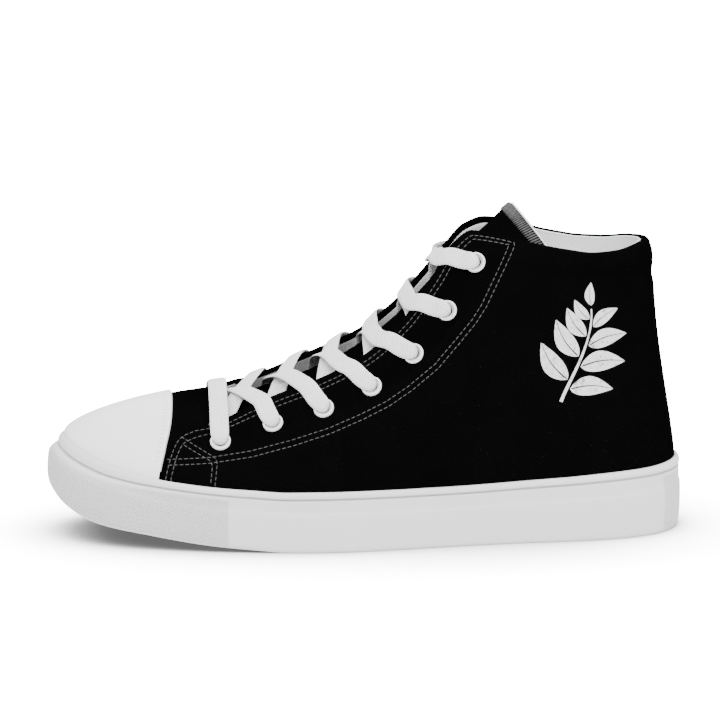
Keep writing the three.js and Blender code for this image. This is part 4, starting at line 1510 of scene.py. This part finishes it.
def ripple(look, place, pitch):
    """A wave from 0 to 1 along a coordinate."""
    wave = math(look, "SINE", times(look, place, 2 * np.pi / pitch))
    return plus(look, times(look, wave, 0.5), 0.5)


def noise(look, scale, detail=2.0):
    """Noise over the object's own coordinates, in metres."""
    place = add(look, "ShaderNodeTexCoord", {}).outputs["Object"]
    return add(look, "ShaderNodeTexNoise", {"Vector": place, "Scale": scale, "Detail": detail}).outputs[0]


def raise_bump(look, height, distance):
    bump = add(look, "ShaderNodeBump", {"Height": height, "Distance": distance * MM, "Strength": 1.0})
    wire(look, "Normal", bump.outputs[0])


def tint(look, share_of, low, high):
    """Base colour between two others by a share."""
    colors = {0: share_of, 6: (*low, 1), 7: (*high, 1)}
    wire(look, "Base Color", add(look, "ShaderNodeMix", colors, data_type="RGBA").outputs[2])


def vary_roughness(look, share_of, low, high):
    wire(look, "Roughness", plus(look, times(look, share_of, high - low), low))


def woven(name, low, high, pitch, depth, roughness, **sockets):
    """Plain weave: threads over and under each other, with slightly uneven colour."""
    look = principled(name, high, roughness, **sockets)
    u, v = cloth_axes(look)
    over = times(look, ripple(look, u, pitch), ripple(look, v, pitch))
    next_u, next_v = (ripple(look, plus(look, place, pitch / 2), pitch) for place in (u, v))
    threads = plus(look, over, times(look, next_u, next_v))
    raise_bump(look, threads, depth)
    patches = plus(look, times(look, noise(look, 60), 0.4), 0.6)
    tint(look, times(look, threads, patches), low, high)
    return look


def make_canvas():
    return woven("canvas", (0.0002,) * 3, (0.0036,) * 3, 1.1, 0.3, 0.95, Specular_IOR_Level=0.0)


def make_mesh_lining():
    # Painted light: the lining gives off a faint light, so that it stays pale where it lies in shade.
    painted_glow = {"Emission_Color": (1, 1, 1, 1), "Emission_Strength": 0.14}
    return woven("lining", (0.62,) * 3, (0.9,) * 3, 1.5, 0.3, 0.92, Specular_IOR_Level=0.1, **painted_glow)


def make_rubber():
    """Side wall and tread: diamonds at the toe, ribs at the heel, and painted shade: a dark line in the
    groove and darker dips between the diamonds and between the ribs.
    """
    look = principled("rubber", (0.74,) * 3, 0.5, Specular_IOR_Level=0.35)
    u, v = (times(look, place, 1 / KNURL_PITCH) for place in cloth_axes(look))
    rising, falling = (ripple(look, slant, 1) for slant in (plus(look, u, v), minus(look, u, v)))
    toe_zone, heel_zone, groove = (share_named(look, name) for name in ("knurl", "ribs", "groove"))
    knurl = times(look, math(look, "MINIMUM", rising, falling), toe_zone)
    relief = plus(look, knurl, times(look, falling, heel_zone))
    height = plus(look, times(look, relief, 0.5), times(look, noise(look, 1800), 0.012))
    raise_bump(look, minus(look, height, times(look, groove, 0.8)), 0.6)
    # Painted shade: the dips of the knurl and the ribs, and the groove's line, are darkened over a random
    # tone.
    valley_shade = times(look, minus(look, plus(look, toe_zone, heel_zone), relief), 0.4)
    tone_and_valley_shade = plus(look, times(look, noise(look, 25), 0.1), valley_shade)
    shade = plus(look, times(look, groove, 0.75), tone_and_valley_shade)
    tint(look, shade, (0.67, 0.67, 0.665), (0.31, 0.31, 0.31))
    vary_roughness(look, noise(look, 180), 0.42, 0.62)
    return look


def make_coated():
    look = principled("coated", (0.86,) * 3, 0.42, Specular_IOR_Level=0.4)
    grain = plus(look, noise(look, 1500, 4), times(look, noise(look, 45), 1.5))
    raise_bump(look, grain, 0.09)
    tint(look, noise(look, 20), (0.86, 0.86, 0.855), (0.82, 0.82, 0.82))
    vary_roughness(look, noise(look, 150), 0.36, 0.52)
    return look


def make_thread(name, low, high):
    look = principled(name, high, 0.75, Specular_IOR_Level=0.2)
    twist = ripple(look, times(look, noise(look, 900), 3), 1)
    raise_bump(look, twist, 0.08)
    tint(look, noise(look, 700), low, high)
    return look


def make_enamel():
    look = principled("enamel", (0.6,) * 3, 0.22, Coat_Weight=0.6, Coat_Roughness=0.1)
    raise_bump(look, noise(look, 300), 0.05)
    # Painted shade: the inner part of the ring and its bore are darker.
    hollow_shade = times(look, share_named(look, "hollow_shade"), 0.85)
    shade = plus(look, hollow_shade, times(look, noise(look, 120), 0.15))
    tint(look, shade, (0.86, 0.86, 0.86), (0.36, 0.36, 0.36))
    vary_roughness(look, noise(look, 260), 0.18, 0.34)
    return look


def make_lace_look():
    """Flat braid: fine chevrons that meet along its middle."""
    look = principled("lace", (0.84,) * 3, 0.88, Specular_IOR_Level=0.2)
    u, v = cloth_axes(look)
    slanted = plus(look, v, times(look, math(look, "ABSOLUTE", u), 0.8))
    braid = times(look, ripple(look, slanted, 1.5), 0.75)
    braid = plus(look, braid, times(look, ripple(look, u, 1.2), 0.25))
    raise_bump(look, plus(look, braid, times(look, noise(look, 90), 1.2)), 0.34)
    tint(look, braid, (0.87, 0.87, 0.86), (0.6, 0.6, 0.6))
    return look


def make_ink():
    """White print that lets the weave through and is cracked in places."""
    look = principled("ink", (0.7,) * 3, 0.7, Specular_IOR_Level=0.2)
    worn = times(look, noise(look, 420, 5), noise(look, 1400, 3))
    cracked = math(look, "GREATER_THAN", worn, 0.36)
    faded = math(look, "MAXIMUM", times(look, worn, 1.4), cracked)
    tint(look, faded, (0.82, 0.82, 0.82), (0.22, 0.22, 0.22))
    raise_bump(look, noise(look, 1500), 0.1)
    return look


looks = {
    "canvas": make_canvas(),
    "lining": make_mesh_lining(),
    "coated": make_coated(),
    "rubber": make_rubber(),
    "thread": make_thread("thread", (0.05,) * 3, (0.1,) * 3),
    "overlock": make_thread("overlock", (0.03,) * 3, (0.12,) * 3),
    "enamel": make_enamel(),
    "lace": make_lace_look(),
    "ink": make_ink(),
    "pinhole": make_thread("pinhole", (0.25,) * 3, (0.4,) * 3),
}


# Assembly


def dress(piece, look, slot, *nodes):
    piece.data.materials.append(looks[look])
    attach(piece, "root")
    if nodes:
        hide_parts(*nodes)


seats = eyelet_seats()
dress(make_quarters(), "canvas", "canvas", "upper")
dress(make_vamp(), "canvas", "canvas", "upper")
dress(make_lining(), "lining", "footbed", "upper")
dress(make_cap(), "coated", "coated", "toe_cap")
dress(make_pinholes(), "pinhole", "coated")
dress(make_sole_wall(), "rubber", "rubber", "sole")
dress(make_tread(), "rubber", "rubber", "sole")
dress(make_insole(), "lining", "footbed", "insole")
dress(make_tongue(), "canvas", "canvas", "tongue")
dress(make_tongue_lining(), "lining", "footbed", "tongue")
dress(make_tongue_hem(), "overlock", "lace")
dress(make_print(), "ink", "coated")
dress(make_stitches(), "thread", "lace")
for seat in [seat for pair in seats for seat in pair]:
    dress(make_eyelet(seat), "enamel", "enamel", seat["name"])
for node, ribbons in make_lace(seats).items():
    for ribbon in ribbons:
        dress(ribbon, "lace", "lace", node)


# Stage, light and camera


def make_floor():
    """White floor; what the camera sees of it is paler than what it throws back on the shoe, and carries a
    painted shadow where the shoe closes it in.
    """
    mesh = bpy.data.meshes.new("floor")
    corners = [(x * FLOOR_HALF, y * FLOOR_HALF, 0) for x, y in ((-1, -1), (1, -1), (1, 1), (-1, 1))]
    mesh.from_pydata(corners, [], [(0, 1, 2, 3)])
    floor = bpy.data.objects.new("floor", mesh)
    bpy.context.scene.collection.objects.link(floor)
    look = bpy.data.materials.new("floor")
    look.use_nodes = True
    seen = add(look, "ShaderNodeLightPath", {}).outputs["Is Camera Ray"]
    thrown = add(look, "ShaderNodeBsdfDiffuse", {"Color": (0.85, 0.85, 0.85, 1)}).outputs[0]
    # Painted shadow: the light that the camera sees of the floor is dimmed where the shoe is near.
    near = add(look, "ShaderNodeAmbientOcclusion", {"Distance": SHADE_REACH}, samples=16).outputs["AO"]
    level = times(look, math(look, "POWER", near, SHADE_POWER), FLOOR_LIGHT)
    pale = add(look, "ShaderNodeEmission", {"Strength": plus(look, level, FLOOR_LEAST)}).outputs[0]
    both = add(look, "ShaderNodeMixShader", {0: seen, 1: thrown, 2: pale}).outputs[0]
    look.node_tree.links.new(both, look.node_tree.nodes["Material Output"].inputs[0])
    floor.data.materials.append(look)


def make_light(name, place, size, power):
    lamp = bpy.data.lights.new(name, "AREA")
    lamp.shape = "RECTANGLE"
    lamp.size, lamp.size_y = size
    lamp.energy = power
    light = bpy.data.objects.new(name, lamp)
    light.location = place
    light.rotation_euler = (Vector(LIGHT_TARGET) - Vector(place)).to_track_quat("-Z", "Y").to_euler()
    bpy.context.scene.collection.objects.link(light)


def make_world():
    """Even light all round, and a white ground where the camera looks past the shoe."""
    world = bpy.data.worlds.new("studio")
    world.use_nodes = True
    seen = add(world, "ShaderNodeLightPath", {}).outputs["Is Camera Ray"]
    level = plus(world, times(world, seen, WORLD_BEHIND - WORLD_LIGHT), WORLD_LIGHT)
    light = world.node_tree.nodes["Background"]
    world.node_tree.links.new(level, light.inputs["Strength"])
    light.inputs["Color"].default_value = (1, 1, 1, 1)
    bpy.context.scene.world = world


def make_camera():
    turn, lift = np.radians(CAMERA_AZIMUTH), np.radians(CAMERA_ELEVATION)
    back = Vector((np.sin(turn) * np.cos(lift), -np.cos(turn) * np.cos(lift), np.sin(lift)))
    right = Vector((np.cos(turn), np.sin(turn), 0))
    data = bpy.data.cameras.new("camera")
    data.sensor_width = CAMERA_SENSOR
    data.lens = CAMERA_SENSOR * CAMERA_DISTANCE / MM * PHOTO_SCALE / PHOTO_SIZE
    camera = bpy.data.objects.new("camera", data)
    place = Vector((CAMERA_AIM[0], TO_MIDDLE, CAMERA_AIM[1])) * MM + back * CAMERA_DISTANCE
    rotation = Matrix((right, back.cross(right), back)).transposed().to_4x4()
    camera.matrix_world = Matrix.Translation(place) @ rotation
    bpy.context.scene.collection.objects.link(camera)
    bpy.context.scene.camera = camera


make_floor()
make_world()
for name, lamp in LIGHTS.items():
    make_light(name, **lamp)
make_camera()
